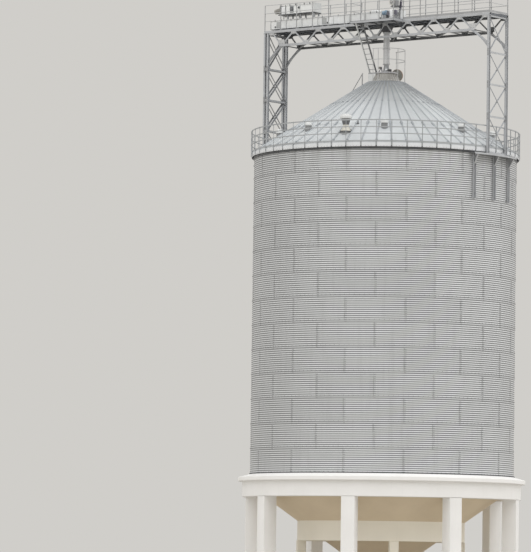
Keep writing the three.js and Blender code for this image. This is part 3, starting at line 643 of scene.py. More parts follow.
def base():
    """Ring beam, eight columns, hopper, and the inner beam on its posts."""
    low = BEAM_BOTTOM
    beam = turned([(5.7, low), (6.27, low), (6.29, low + 0.03), (6.31, low + 0.03), (6.33, low + 0.02),
                   (6.33, 5.65), (6.44, 5.65), (6.44, 5.662), (6.46, 5.662), (6.46, 5.65), (6.51, 5.65),
                   (6.53, 5.67), (6.53, 5.82), (6.515, 5.84), (6.095, 5.955), (6.065, 5.97), (6.0, 5.97),
                   (6.0, WALL_FOOT), (5.7, WALL_FOOT)])
    placed(coat(beam, "concrete"), "concrete_ring_beam", "concrete", "ring_beam", degrees=30)

    depth, width, face = 0.65, 0.62, 6.33 * math.cos(STEP / 2)
    column = block((face - depth, -width / 2, 0), (face, width / 2, low - CLEARANCE))
    edit(column)
    ends = column.data.vertices
    pick(column, "EDGE", lambda e: abs(ends[e.vertices[0]].co.z - ends[e.vertices[1]].co.z) > 1)
    bpy.ops.mesh.bevel(offset=0.025, segments=2, affect="EDGES")
    leave()
    for k, copy in enumerate(ring(column, 8, math.pi / 4, math.pi / 8)):
        placed(coat(copy, "concrete"), f"concrete_column_{k + 1}", "concrete", f"outer_column_{k + 1}")
    dropped(column)

    mouth, rim = hopper_height(0.43), hopper_height(5.68)
    cone = turned([(0.3, mouth), (0.42, mouth), (0.44, mouth + 0.01), (5.68, rim), (5.6997, rim + 0.02),
                   (5.6997, rim + 0.32), (0.3, mouth + 0.3)])
    # The hopper is coated in painted shade
    placed(coat(cone, "shaded_concrete"), "concrete_hopper", "concrete", "hopper", degrees=30)

    collar = turned([(3.5, 3.02), (3.52, 3.0), (3.78, 3.0), (3.8, 3.02), (3.8, hopper_height(3.8) - 0.0006),
                     (3.5, hopper_height(3.5) - 0.0006)])
    post = chamfer(block((3.45, -0.2, 0), (3.85, 0.2, 3.01)), 0.02)
    inner = joined([collar, *ring(post, 4, math.pi / 2, math.pi / 4)])
    dropped(post)
    placed(coat(inner, "warm_shade_concrete"), "concrete_inner_frame", "concrete", "inner_frame", degrees=30)


# Corrugated wall

def hex_bolt(radius=0.016, depth=0.014, axis="X"):
    return drum(radius, depth, (0, 0, 0), axis, 6, top=radius * 0.62)


def wall():
    """One bolted sheet, set round in tiers whose joints step by half a sheet."""
    wave_depth, wave_points, facets = 0.0127, 6, 8
    inner, lap, lean = 5.962, 0.006, 0.0014
    pitch = TIER_HEIGHT / CORRUGATIONS
    crest = WALL_RADIUS - 0.002

    def wave(i):
        fall = wave_depth / 2 * (1 - math.cos(2 * math.pi * i / wave_points))
        return crest - fall, 0, pitch * i / wave_points

    sheet = outline([wave(i) for i in range(wave_points + 1)])
    modify(sheet, "ARRAY", count=CORRUGATIONS, use_relative_offset=False, use_constant_offset=True,
           constant_offset_displace=(0, 0, pitch), use_merge_vertices=True, merge_threshold=0.0005)
    edit(sheet)
    for end in (0, TIER_HEIGHT):
        pick(sheet, "VERT", lambda v: abs(v.co.z - end) < 0.001 and v.co.x > crest - 0.001)
        bpy.ops.mesh.extrude_region_move(TRANSFORM_OT_translate={"value": (inner - crest, 0, 0)})
    pick(sheet, "VERT", lambda v: v.co.x < inner + 0.001)
    bpy.ops.mesh.edge_face_add()
    bpy.ops.mesh.select_all(action="SELECT")
    bpy.ops.mesh.spin(steps=facets, angle=-SHEET_ANGLE - lap, center=(0, 0, 0), axis=(0, 0, 1))
    bpy.ops.mesh.select_all(action="SELECT")
    bpy.ops.mesh.remove_doubles(threshold=0.0002)
    bpy.ops.mesh.select_all(action="SELECT")
    bpy.ops.mesh.fill_holes(sides=0)
    close_up()
    coat(sheet, "wall")

    # Bolts: two upright rows at the lap, and one row along the upper edge
    bolt = coat(hex_bolt(), "bolt")
    spots = [(away, pitch * (k + 0.02)) for away in (0.004, 0.0125) for k in range(CORRUGATIONS)]
    spots += [(SHEET_ANGLE * k / 12, pitch * 0.5 + 0.045) for k in range(1, 12)]
    bolts = [copied(bolt, Matrix.Translation(polar(crest + 0.004, away, level)) @ about_axis(away))
             for away, level in spots]
    dropped(bolt)
    hinge = Matrix.Translation((crest, 0, 0))
    leaning = hinge @ about_axis(lean) @ hinge.inverted()
    sheet.data.transform(leaning)
    one = joined([sheet, *bolts])

    segments = [f"wall_segment_{k + 1}" for k in range(SHEETS // 2)]
    for tier in range(TIERS):
        first = SHEET_ANGLE * (0.25 if tier % 2 == 0 else -0.25)
        course = joined(ring(one, SHEETS, SHEET_ANGLE, first))
        course.data.transform(Matrix.Translation((0, 0, WALL_BOTTOM + tier * TIER_HEIGHT)))
        placed(course, f"wall_tier_{tier + 1}", "wall_sheet", *segments)
    dropped(one)


def wall_foot():
    """The base angle inside the kerb, the sealing strip on it, and anchors at every second joint."""
    angle_ring = turned([(5.9, 5.8405), (5.9995, 5.8405), (5.9995, 5.96), (5.992, 5.96), (5.992, 5.848),
                         (5.9, 5.848)])
    placed(coat(angle_ring, "dark_steel"), "wall_base_angle", "structural_steel")
    strip = turned([(5.98, 5.965), (6.035, 5.965), (6.035, 5.982), (6.012, 6.0), (5.98, 6.0)])
    placed(coat(strip, "rubber"), "wall_foot_seal", "structural_steel")
    shoe = [block((5.99, -0.07, 5.972), (6.06, 0.07, 5.982), 0.003),
            block((5.998, -0.07, 5.98), (6.008, 0.07, 6.025), 0.003),
            block((6.0, -0.005, 5.98), (6.05, 0.005, 6.015)),
            *(drum(0.014, 0.022, (6.04, y, 5.993), sides=6, edge=0.003) for y in (0.04, -0.04))]
    shoe = coat(joined(shoe), "dark_steel")
    shoes = ring(shoe, JOINTS // 2, 2 * STEP, STEP)
    placed(joined(shoes), "wall_anchor_brackets", "structural_steel")
    dropped(shoe)


# Roof

def roof_panel():
    """One panel with its lap, its eave flap, the rib at its side and the bolts."""
    lap_radius, sheet, lap_step, crown_end = 4.5, 0.004, 0.012, CROWN_RADIUS - 0.03
    under_lap, notch, edge = lap_radius - 0.12, 0.03 / EAVE_RADIUS, WALL_TOP + 0.03
    lower = turned([(under_lap, roof_height(under_lap)), (EAVE_RADIUS, EAVE_TOP)], 1, False, STEP)
    upper = turned([(crown_end, roof_height(crown_end) + lap_step),
                    (lap_radius, roof_height(lap_radius) + lap_step),
                    (lap_radius, roof_height(lap_radius) + 0.002)], 1, False, STEP)
    flap = turned([(EAVE_RADIUS, EAVE_TOP), (EAVE_RADIUS + 0.006, EAVE_TOP - 0.03),
                   (EAVE_RADIUS, edge)], 1, False, STEP - 2 * notch)
    flap.data.transform(about_axis(notch))
    for part, finish in ((lower, "roof"), (upper, "roof"), (flap, "flap")):
        modify(part, "SOLIDIFY", thickness=sheet, offset=-1)
        edit(part)
        close_up()
        coat(part, finish)

    # The rib stands over the joint, with a knot where the panels lap and a turned-down end
    rib = stock([(-0.036, -0.012), (0.036, -0.012), (0.03, 0.035), (0.016, 0.045),
                 (-0.016, 0.045), (-0.03, 0.035)])
    knot = stock([(-0.048, -0.012), (0.048, -0.012), (0.036, 0.05), (-0.036, 0.05)])

    def along(section, outer, inner):
        return run(section, (outer, 0, roof_height(outer)), (inner, 0, roof_height(inner)))

    ribs = [along(rib, 6.09, CROWN_RADIUS + 0.02), along(knot, lap_radius + 0.11, lap_radius - 0.11),
            along(knot, 5.94, 5.86), along(knot, 2.62, 2.54),
            block((6.075, -0.024, 20.53), (6.118, 0.024, 20.65), 0.006)]
    # A rib's flanks are as pale as the panels, and its crown is darker: painted shadow along the rib
    ribs = [coat(part, "rib") for part in ribs]
    ribs[0].data.materials.append(FINISHES["roof"])
    for face in ribs[0].data.polygons:
        face.material_index = int(abs(face.normal.y) > 0.8)
    # A near-black block in each notch of the eave flap is painted shade in the gap between flaps
    notch_shadows = coat(block((6.07, -0.036, edge - 0.01), (6.112, 0.036, edge + 0.095), 0.006), "dark_steel")

    bolt = coat(hex_bolt(0.014, 0.012, "Z"), "bolt")
    tilt = Matrix.Rotation(math.atan(ROOF_SLOPE), 4, "Y")
    outward = Matrix.Rotation(math.pi / 2, 4, "Y")
    spots = [Matrix.Translation((radius, side, roof_height(radius) + lap_step + 0.006)) @ tilt
             for side in (0.055, STEP * 4.42 - 0.055) for radius in (4.42, 4.46)]
    spots += [Matrix.Translation(polar(EAVE_RADIUS + 0.004, share * STEP, 20.46))
              @ about_axis(share * STEP) @ outward for share in (0.3, 0.5, 0.7)]
    panel = joined([lower, upper, flap, notch_shadows, *ribs, *(copied(bolt, spot) for spot in spots)])
    dropped(rib, knot, bolt)
    return panel


def roof():
    """Four quadrants of panels, the angle under the eave, the crown's ring and a sensor's stub."""
    panel = roof_panel()
    for q in range(4):
        quadrant = joined(ring(panel, JOINTS // 4, STEP, q * math.pi / 2))
        placed(quadrant, f"roof_panels_{q + 1}", "roof_sheet", f"roof_quadrant_{q + 1}", degrees=25)
    dropped(panel)
    # The angle under the eave is near-black: it also stands for the shadow under the eave
    angle_ring = turned([(5.965, 20.33), (6.025, 20.33), (6.03, 20.34), (6.03, 20.58), (6.0, 20.6),
                         (5.965, 20.6)], JOINTS)
    placed(coat(angle_ring, "dark_steel"), "eave_angle", "structural_steel")
    top = COLLAR_FOOT - 0.0005
    crown = turned([(0.62, top - 0.01), (0.9, top - 0.026), (0.9, 23.94), (CROWN_RADIUS, 23.94),
                    (CROWN_RADIUS, top - 0.016), (0.7, top), (0.62, top)], JOINTS)
    placed(coat(crown, "rib"), "roof_crown", "roof_sheet", degrees=30)
    stub = joined(fitted("shade_steel", drum(0.022, 0.15, (0, 0, 0.06), sides=12, edge=0.003),
                         drum(0.045, 0.03, (0, 0, 0.01), sides=16, edge=0.003)))
    stub.data.transform(Matrix.Translation(polar(4.55, -10.85 * STEP, roof_height(4.55) + 0.012)))
    placed(stub, "roof_sensor", "roof_sheet")


def guard_rail():
    """Angle rails on a post at each joint; the lowest rail is a toe board."""
    post_radius, thick = GUARD_RADIUS + 0.002, 0.005
    bay = []
    for level, height in ((20.67, 0.07), (21.01, 0.04), (21.3, 0.04), (21.61, 0.05)):
        half = height / 2
        if height == 0.07:
            rail = flat_section(height, thick)
        else:
            rail = stock([(-0.015, -half), (0.015, -half), (0.015, thick - half),
                          (-0.01, thick - half), (-0.01, half), (-0.015, half)])
        bay.append(run(rail, polar(GUARD_RADIUS, 0, level), polar(GUARD_RADIUS, STEP, level)))
        dropped(rail)
    post = angle_section(0.03, 0.004)
    bolts = (20.5, 20.57, 21.01, 21.3, 21.61)
    bay += [run(post, (post_radius, 0, 20.47), (post_radius, 0, 21.64), (1, 0, 0)),
            block((6.113, -0.03, 20.48), (6.119, 0.03, 20.6)),
            *(drum(0.012, 0.016, (6.15, 0.008, level), "X", 6) for level in bolts)]
    dropped(post)
    bay = coat(joined(bay), "guard")
    for q in range(4):
        arc = ring(bay, JOINTS // 4, STEP, q * math.pi / 2)
        steelwork(arc, f"eave_rail_{q + 1}", f"eave_guard_rail_{q + 1}")
    dropped(bay)


# Towers and gallery

def gusset_plate(width, foot, height, thick, y):
    """A gusset in the XZ plane: wide above, narrow below, hung from the origin."""
    return plate([(-width / 2, y, 0), (-foot / 2, y, -height), (foot / 2, y, -height), (width / 2, y, 0)],
                 (0, thick, 0))


def trestle(x, depth, heavy):
    """One braced frame across the gallery: two legs, struts and crossed angles."""
    leg_height = 0.125
    leg = beam_section(leg_height, depth, 0.007, 0.01)
    strut = channel_section(0.08, 0.036, 0.007)
    brace = angle_section(0.06 if heavy else 0.045, 0.006)
    bolt = coat(hex_bolt(0.013, 0.012, "Y"), "bolt")
    levels = (TOWER_FOOT + 0.04, *STRUTS, TOWER_HEAD - 0.04)
    reach = TOWER_HALF - 0.06
    parts = []
    for side in (-1, 1):
        y = side * TOWER_HALF
        parts.append(coat(run(leg, (x, y, TOWER_FOOT), (x, y, TOWER_HEAD), (0, 1, 0)), "chord"))
        for z, half in ((TOWER_FOOT, 0.11), (TOWER_HEAD - 0.014, 0.08)):
            parts.append(pad((x, y), (depth / 2 + 0.02, half), z, z + 0.014, 0.003))
        for level in levels[1:-1]:
            for face in (-1, 1):
                out = y + face * leg_height / 2
                parts += fitted("board", block((x - depth / 2 + 0.01, out, level - 0.16),
                                               (x + depth / 2 - 0.01, out + face * 0.009, level + 0.16)))
                parts += (moved(bolt, x, out + face * 0.014, level + dz) for dz in (-0.12, -0.06, 0.06, 0.12))
        for level in levels:
            corners = [(x - 0.004, side * (reach + shift), min(max(level + lift, TOWER_FOOT), TOWER_HEAD))
                       for shift, lift in ((0, -0.13), (-0.13, -0.02), (-0.13, 0.06), (0, 0.13))]
            parts.append(plate(corners, (0.008, 0, 0)))
    for level in levels:
        parts.append(run(strut, (x, -reach, level), (x, reach, level)))
    for k, (low, high) in enumerate(zip(levels, levels[1:])):
        low, high = (TOWER_FOOT + 0.23 if k == 0 else low + 0.06), high - 0.06
        parts.append(run(brace, (x - 0.012, -reach, low), (x - 0.012, reach, high), (1, 0, 0)))
        parts.append(run(brace, (x + 0.012, -reach, high), (x + 0.012, reach, low), (1, 0, 0)))
        middle = (low + high) / 2
        parts.append(block((x - 0.015, -0.05, middle - 0.05), (x + 0.015, 0.05, middle + 0.05), 0.004))
    dropped(leg, strut, brace, bolt)
    return parts


def knees(leg_x, joint_x):
    """A curved plate with a flange, from each leg to the end of the bottom chord."""
    foot, head, width, steps, sag = 25.1, BOTTOM_CHORD[0] - CLEARANCE, 0.2, 6, 0.05
    reach = joint_x + math.copysign(width, joint_x - leg_x) - leg_x
    edge = flat_section(0.08, 0.01)
    parts = []
    for side in (-TOWER_HALF, TOWER_HALF):
        curve = []
        for t in range(steps + 1):
            part, bulge = t / steps, sag * math.sin(math.pi * t / steps)
            curve.append(Vector((leg_x + reach * part - math.copysign(bulge, reach), side - 0.006,
                                 foot + (head - foot) * part + bulge)))
        corners = [(leg_x, side - 0.006, foot + width + 0.06), *curve, (joint_x, side - 0.006, head)]
        parts.append(plate(corners, (0, 0.012, 0)))
        middle = Vector((0, 0.006, 0))
        parts.extend(run(edge, a + middle, b + middle, (0, 1, 0)) for a, b in zip(curve, curve[1:]))
    dropped(edge)
    return parts


def towers():
    """The right tower is one frame; the left is two, with battens between their legs."""
    parts = trestle(RIGHT_TOWER_X, 0.1, False) + knees(RIGHT_TOWER_X, BOTTOM_NODES[-1] + 0.15)
    steelwork(parts, "right_trestle", "right_tower", "chord")
    parts = [*trestle(LEFT_TOWER_X[0], 0.09, True), *trestle(LEFT_TOWER_X[1], 0.09, True),
             *knees(LEFT_TOWER_X[0], BOTTOM_NODES[0] - 0.15)]
    for level in (20.9, *STRUTS):
        for side in (-1, 1):
            y = side * (TOWER_HALF + 0.045)
            parts.append(block((LEFT_TOWER_X[1] - 0.04, y - 0.005, level - 0.07),
                               (LEFT_TOWER_X[0] + 0.04, y + 0.005, level + 0.07), 0.002))
    steelwork(parts, "left_trestles", "left_tower", "steel")


def ledges():
    """Seats for the towers' legs, each on three wall stiffeners with gussets."""
    for name, outer, middle, stands_for in (("right_seat", 6.35, 0.0, "right_tower_ledge"),
                                            ("left_seat", 6.525, math.pi, "left_tower_ledge")):
        spread, inner = math.radians(15), WALL_RADIUS + CLEARANCE
        seat = turned([(inner, 20.342), (outer - 0.008, 20.342), (outer - 0.008, 20.27), (outer, 20.27),
                       (outer, 20.35), (inner, 20.35)], 10, True, 2 * spread)
        modify(seat, "WELD", merge_threshold=0.0002)
        edit(seat)
        bpy.ops.mesh.fill_holes(sides=0)
        close_up()
        seat.data.transform(about_axis(middle - spread))
        upright = channel_section(0.14, 0.08, 0.006)
        rib = run(upright, (6.0403, 0, 18.3), (6.0403, 0, 20.34), (0, 1, 0))
        stay = plate([(6.06, -0.005, 19.85), (outer - 0.04, -0.005, 20.31), (outer - 0.04, -0.005, 20.342),
                      (6.06, -0.005, 20.342)], (0, 0.01, 0))
        lip = flat_section(0.09, 0.008)
        flange = run(lip, (6.065, 0, 19.85), (outer - 0.035, 0, 20.31), (0, 1, 0))
        foot = block((6.001, -0.11, 18.3), (6.012, 0.11, 18.42), 0.003)
        parts = [rib, stay, flange, foot]
        parts += (drum(0.014, 0.014, (6.086, y, z), "X", 6)
                  for z in (18.6, 19.0, 19.4, 19.8, 20.2) for y in (-0.06, 0.06))
        post = joined(parts)
        dropped(upright, lip)
        pieces = [seat, *ring(post, 3, 2 * STEP, middle - 2 * STEP)]
        dropped(post)
        steelwork(pieces, name, stands_for, "chord")


def truss(y, name, stands_for, finish, bright):
    """Channel chords, angle diagonals, and gussets at the joints."""
    outward = 1 if y > 0 else -1
    top, bottom = sum(TOP_CHORD) / 2, sum(BOTTOM_CHORD) / 2
    chord = channel_section(TOP_CHORD[1] - TOP_CHORD[0], 0.09, 0.009)
    low_chord = channel_section(BOTTOM_CHORD[1] - BOTTOM_CHORD[0], 0.09, 0.008)
    brace = angle_section(0.055, 0.006)
    ends = (GALLERY_LEFT, GALLERY_RIGHT)
    low_ends = (BOTTOM_NODES[0] - 0.12, BOTTOM_NODES[-1] + 0.12)
    parts = [run(chord, (ends[0], y, top), (ends[1], y, top), mirror=outward > 0),
             run(low_chord, (low_ends[0], y, bottom), (low_ends[1], y, bottom), mirror=outward > 0)]
    face = y + outward * 0.046
    splices = (-4.1, -1.9, 0.35, 2.6, 4.6)
    for x in splices:
        parts.append(block((x - 0.12, face, TOP_CHORD[0] + 0.012),
                           (x + 0.12, face + outward * 0.006, TOP_CHORD[1] - 0.012), 0.002))
    gusset = coat(gusset_plate(0.36, 0.2, 0.13, 0.01, y + outward * 0.03 - 0.005), bright)
    low_gusset = coat(gusset_plate(0.4, 0.26, 0.13, 0.01, y + outward * 0.03 - 0.005), bright)
    end_gusset = coat(gusset_plate(0.42, 0.34, 0.24, 0.012, y + outward * 0.03 - 0.006), bright)
    bolt = hex_bolt(0.014, 0.014, "Y")
    parts += (moved(gusset, x, 0, TOP_CHORD[0] + 0.02) for x in TOP_NODES)
    for k, x in enumerate(BOTTOM_NODES):
        flipped = Matrix.Translation((x, 0, BOTTOM_CHORD[1] - 0.02)) @ Matrix.Diagonal((1, 1, -1, 1))
        end = k in (0, len(BOTTOM_NODES) - 1)
        turned_up = copied(end_gusset if end else low_gusset, flipped)
        turned_up.data.flip_normals()
        parts.append(turned_up)
        for other, shift in ((TOP_NODES[k], -1), (TOP_NODES[k + 1], 1)):
            parts.append(run(brace, (other - shift * 0.05, y + shift * 0.012, TOP_CHORD[0]),
                             (x + shift * 0.05, y + shift * 0.012, BOTTOM_CHORD[1]), (0, 1, 0)))
    for spots, level in ((TOP_NODES, TOP_CHORD[0] - 0.04), (BOTTOM_NODES, BOTTOM_CHORD[1] + 0.04)):
        parts += (moved(bolt, x + shift, y + outward * 0.042, level)
                  for x in spots for shift in (-0.09, -0.05, 0.05, 0.09))
    dropped(chord, low_chord, brace, gusset, low_gusset, end_gusset, bolt)
    steelwork(parts, name, stands_for, finish)


def deck():
    """Plates on cross beams and stringers, with a hole where the spout goes down."""
    inner, left, right, hole = TRUSS_Y - 0.05, GALLERY_LEFT, GALLERY_RIGHT, 0.15
    beam_level, stringer_level = DECK_TOP - 0.05, DECK_TOP - 0.033
    beam = channel_section(0.09, 0.05, 0.006)
    stringer = angle_section(0.05, 0.005)
    parts = []
    for low, high in (((left, -inner), (-hole, inner)), ((hole, -inner), (right, inner)),
                      ((-hole, hole), (hole, inner)), ((-hole, -inner), (hole, -hole))):
        parts.append(block((*low, DECK_TOP - 0.006), (*high, DECK_TOP)))
    spots = [x + step for x in TOP_NODES for step in (-0.45, 0, 0.45) if left < x + step < right - 0.1]
    for x in (*spots, right - 0.03):
        parts.append(run(beam, (x, -inner, beam_level), (x, inner, beam_level)))
    for y in (-0.42, -0.2, 0.2, 0.42):
        parts.append(run(stringer, (left, y, stringer_level), (right, y, stringer_level)))
    dropped(beam, stringer)
    # The deck's dark finish is painted shade on its underside
    steelwork(parts, "deck_plates", "gallery_deck", "deck")


def bottom_bracing():
    """Ties across and aslant between the bottom chords, with plates at the joints."""
    inner, level = TRUSS_Y - 0.05, sum(BOTTOM_CHORD) / 2
    tie = angle_section(0.045, 0.005)
    parts = []
    for k, x in enumerate(BOTTOM_NODES):
        side = 1 if k % 2 == 0 else -1
        if abs(x) > 0.3:
            parts.append(run(tie, (x, -inner, level), (x, inner, level)))
        if k < len(BOTTOM_NODES) - 1:
            parts.append(run(tie, (x + 0.05, side * (inner - 0.06), level - 0.005),
                             (BOTTOM_NODES[k + 1] - 0.05, side * (0.06 - inner), level - 0.005)))
        for face in (-1, 1):
            spread = [(x - 0.17, face * inner, level), (x + 0.17, face * inner, level),
                      (x + 0.08, face * (inner - 0.14), level), (x - 0.08, face * (inner - 0.14), level)]
            parts.append(plate(spread, (0, 0, 0.008)))
    dropped(tie)
    steelwork(parts, "bottom_bracing", "gallery_bracing", "shade_steel")


def platform():
    """The side platform: plates round the ladder's hatch, a rim, and brackets from the truss."""
    low_x, high_x, edge = PLATFORM
    join = -TRUSS_Y - 0.0503
    hatch_left, hatch_right, hatch_front, hatch_back = -0.77, -0.28, edge + 0.06, join - 0.09
    parts = []
    for low, high in (((low_x, edge), (hatch_left, join)), ((hatch_right, edge), (high_x, join)),
                      ((hatch_left, edge), (hatch_right, hatch_front)),
                      ((hatch_left, hatch_back), (hatch_right, join))):
        # The platform's plates take the deck's dark finish, painted shade on their underside
        parts.append(coat(block((*low, DECK_TOP - 0.008), (*high, DECK_TOP)), "deck"))
    rim = channel_section(0.11, 0.04, 0.006)
    middle = sum(TOP_CHORD) / 2
    for a, b in (((low_x, edge + 0.02), (high_x, edge + 0.02)), ((low_x + 0.02, join), (low_x + 0.02, edge)),
                 ((high_x - 0.02, edge), (high_x - 0.02, join))):
        parts.append(coat(run(rim, (*a, middle), (*b, middle)), "chord"))
    stringer, level = angle_section(0.05, 0.005), DECK_TOP - 0.037
    for x in (hatch_left - 0.02, hatch_right + 0.02, 0.3, 0.9):
        parts += fitted("dark_steel", run(stringer, (x, edge + 0.03, level), (x, join, level)))
    for x in (low_x + 0.1, 0.24, high_x - 0.1):
        parts += fitted("dark_steel", run(stringer, (x, edge + 0.1, 26.62), (x, join - 0.02, 26.42)),
                        block((x - 0.03, join - 0.012, 26.36), (x + 0.03, join, 26.6)))
    dropped(stringer, rim)
    steelwork(parts, "ladder_platform", "side_platform")


def railing(points, name, stands_for, board_from=0, open_end=False, spacing=0.93):
    """Three tube rails on angle posts, with a toe board at their foot from a given stretch on."""
    tube = tube_section(0.028)
    board = flat_section(0.1, 0.006)
    upright = angle_section(0.034, 0.004)
    foot = DECK_TOP + 0.0103
    parts = []

    def rail(section, start, end, level, finish):
        lift = Vector((0, 0, level))
        parts.append(coat(run(section, start + lift, end + lift), finish))

    for i, (start, end) in enumerate(zip(points, points[1:])):
        start, end = Vector((*start, 0)), Vector((*end, 0))
        for level in RAILS:
            rail(tube, start, end, level, "rail")
        if i >= board_from:
            rail(board, start, end, foot + 0.063, "board")
        bays = max(1, round((end - start).length / spacing))
        last = bays if open_end and i == len(points) - 2 else bays + 1
        for k in range(0 if i == 0 else 1, last):
            at = start.lerp(end, k / bays)
            post = run(upright, at + Vector((0, 0, foot)), at + Vector((0, 0, RAILS[2])), (1, 0, 0))
            parts += fitted("rail", post, pad((at.x, at.y), (0.035, 0.028), foot, foot + 0.01, 0.002),
                            *(drum(0.01, 0.05, (at.x, at.y, level), "Y", 6) for level in RAILS[:2]))
    dropped(tube, board, upright)
    steelwork(parts, name, stands_for)


def railings():
    """Rails along both sides; the near one runs out round the side platform."""
    y = -TRUSS_Y - 0.02
    left, right = GALLERY_LEFT + 0.02, GALLERY_RIGHT - 0.02
    low_x, high_x, edge = PLATFORM[0] + 0.02, PLATFORM[1] - 0.02, PLATFORM[2] + 0.02
    railing([(left, y), (low_x, y), (low_x, edge), (high_x, edge), (high_x, y), (right, y)],
            "near_railing", "gallery_handrail_near", board_from=4)
    railing([(left, -y), (right, -y), (right, y + 0.06)],
            "far_railing", "gallery_handrail_far", open_end=True)


# Conveyor

def conveyor_box(left, right, low, high, half, bay):
    """A bolted box: flanged joints, and an overhanging lid held by toggles."""
    lid, start, stop = half + 0.022, left + 0.003, right - 0.003
    parts = fitted("housing", block((start, -half, low), (stop, half, high - 0.02), 0.012),
                   block((start, -lid, high - 0.03), (stop, lid, high - 0.012), 0.004),
                   block((start, -lid, high - 0.055), (stop, 0.006 - lid, high - 0.02)),
                   block((start, lid - 0.006, high - 0.055), (stop, lid, high - 0.02)))
    joints = max(1, round((right - left) / bay))
    pitch = (right - left) / joints
    for k in range(joints + 1):
        x = left + pitch * k
        flange = block((max(left, x - 0.01), -half - 0.03, low - 0.015),
                       (min(right, x + 0.01), half + 0.03, high))
        parts.append(coat(flange, "joint"))
        for away in (0.3, 0.7) if k < joints else ():
            spot = x + away * pitch
            parts.extend(fitted("dark_steel", block((spot - 0.018, -half - 0.042, high - 0.07),
                                                    (spot + 0.018, -half - 0.018, high + 0.002), 0.004),
                                block((spot - 0.006, -half - 0.052, high - 0.02),
                                      (spot + 0.006, -half - 0.03, high + 0.012))))
    return parts


def conveyor():
    """The long box on its feet, and the plain box over the drive."""
    half, low, high = HOUSING
    parts = conveyor_box(GALLERY_LEFT, -0.1, low, high, half, 0.91)
    skirt = angle_section(0.06, 0.006)
    foot = DECK_TOP + CLEARANCE
    feet = (-6.3, -4.9, -3.5, -2.1, -0.7, 0.3)
    for x in feet:
        for y in (-half, half):
            parts += fitted("steel", pad((x, y), (0.025, 0.025), foot, low + 0.01))
        parts += fitted("steel", run(skirt, (x, -half, low - 0.025), (x, half, low - 0.025)),
                        pad((x, 0), (0.04, half), foot, DECK_TOP + 0.02))
    dropped(skirt)

    # Round inspection caps, each beside a panel painted darker as shade; one panel is newly painted
    for x, panel in ((-6.24, (0.06, 0.3)), (-3.21, (-0.32, -0.06)), (-0.19, (0.04, 0.08))):
        parts += fitted("rubber", drum(0.036, 0.03, (x, -half - 0.012, low + 0.1), "Y", 16, 0.005))
        parts += fitted("housing_shade", block((x + panel[0], -half - 0.012, low + 0.05),
                                               (x + panel[1], -half, high - 0.1), 0.004))
    parts += fitted("new_paint", block((-3.1, -half - 0.01, low + 0.03), (-2.55, -half, high - 0.07), 0.004),
                    block((-0.7, -half - 0.03, high - 0.02), (-0.36, half + 0.03, high + 0.06), 0.01))
    parts += fitted("housing", block((-0.1, -half, low), (0.9, half, high - 0.02), 0.02),
                    block((-0.1, -half - 0.02, high - 0.035), (0.9, half + 0.02, high - 0.015), 0.004),
                    block((0.02, -half - 0.02, low + 0.06), (0.3, -half, high - 0.09), 0.006),
                    drum(0.17, 0.03, (0.55, half + 0.005, 27.06), "Y", 24, 0.006))
    placed(joined(parts), "conveyor_trough", "conveyor_paint", "conveyor_housing", degrees=30)


def motor(left, right, y, z, radius, finish):
    """A finned electric motor lying along X, with a fan cowl at its left end."""
    length = right - left
    parts = [drum(radius * 0.86, length, ((left + right) / 2, y, z), "X", 24),
             drum(radius * 0.97, length * 0.28, (left + length * 0.14, y, z), "X", 24, 0.008),
             drum(radius, 0.02, (right - 0.01, y, z), "X", 24, 0.004),
             block((left + length * 0.45, y - 0.05, z + radius * 0.7),
                   (left + length * 0.75, y + 0.05, z + radius * 1.15), 0.008)]
    fin = block((left + length * 0.3, -0.004, radius * 0.8), (right - 0.02, 0.004, radius * 0.97))
    for k in range(20):
        turn = Matrix.Rotation(2 * math.pi * k / 20, 4, "X")
        parts.append(copied(fin, Matrix.Translation((0, y, z)) @ turn))
    dropped(fin)
    return fitted(finish, *parts)


def upper_conveyor():
    """The shorter box on top, on its tray and feet, with a neck and a motor at its left end."""
    left, right, low, high = UPPER_BOX
    half, floor, tray = HOUSING[0], HOUSING[2] + CLEARANCE, -6.07
    parts = conveyor_box(left, right, low, high, half, 0.83)
    # The tray under the box is near-black: it also stands for the shadow line under the box
    parts += fitted("dark_steel", block((tray, -0.29, low - 0.03), (right, 0.29, low + 0.008), 0.004))
    for x in (left + 0.08, (left + right) / 2, right - 0.08):
        for y in (-0.2, 0.2):
            parts += fitted("steel", pad((x, y), (0.03, 0.03), floor, low - 0.02))
        parts += fitted("steel", pad((x, 0), (0.04, half), floor, floor + 0.015))
    for x, z, radius, finish in ((-5.3, 27.72, 0.1, "dark_steel"), (-5.3, 27.72, 0.065, "steel"),
                                 (-5.3, 27.72, 0.03, "rubber"), (-4.87, 27.77, 0.05, "dark_steel")):
        place = (x, -half - 0.012 - (0.1 - radius) / 4, z)
        parts += fitted(finish, drum(radius, 0.06 - radius / 8, place, "Y", 20, 0.004))
    parts += fitted("steel", block((-5.41, -0.27, 27.56), (-5.19, -0.25, 27.88), 0.008))
    parts += fitted("new_paint", block((-6.0, -0.15, low), (left, 0.15, high - 0.06), 0.02))
    for x in (-6.04, left - 0.09):
        parts += fitted("rubber", block((x, -0.2, low + 0.01), (x + 0.05, 0.2, high - 0.01), 0.006))
    parts += fitted("motor_gray", block((-6.12, -0.14, low + 0.02), (-5.99, 0.14, high - 0.08), 0.01))
    parts += motor(-6.44, -6.1, 0, 27.7, 0.12, "motor_gray")
    placed(joined(parts), "upper_conveyor_box", "conveyor_paint", "upper_box", degrees=30)


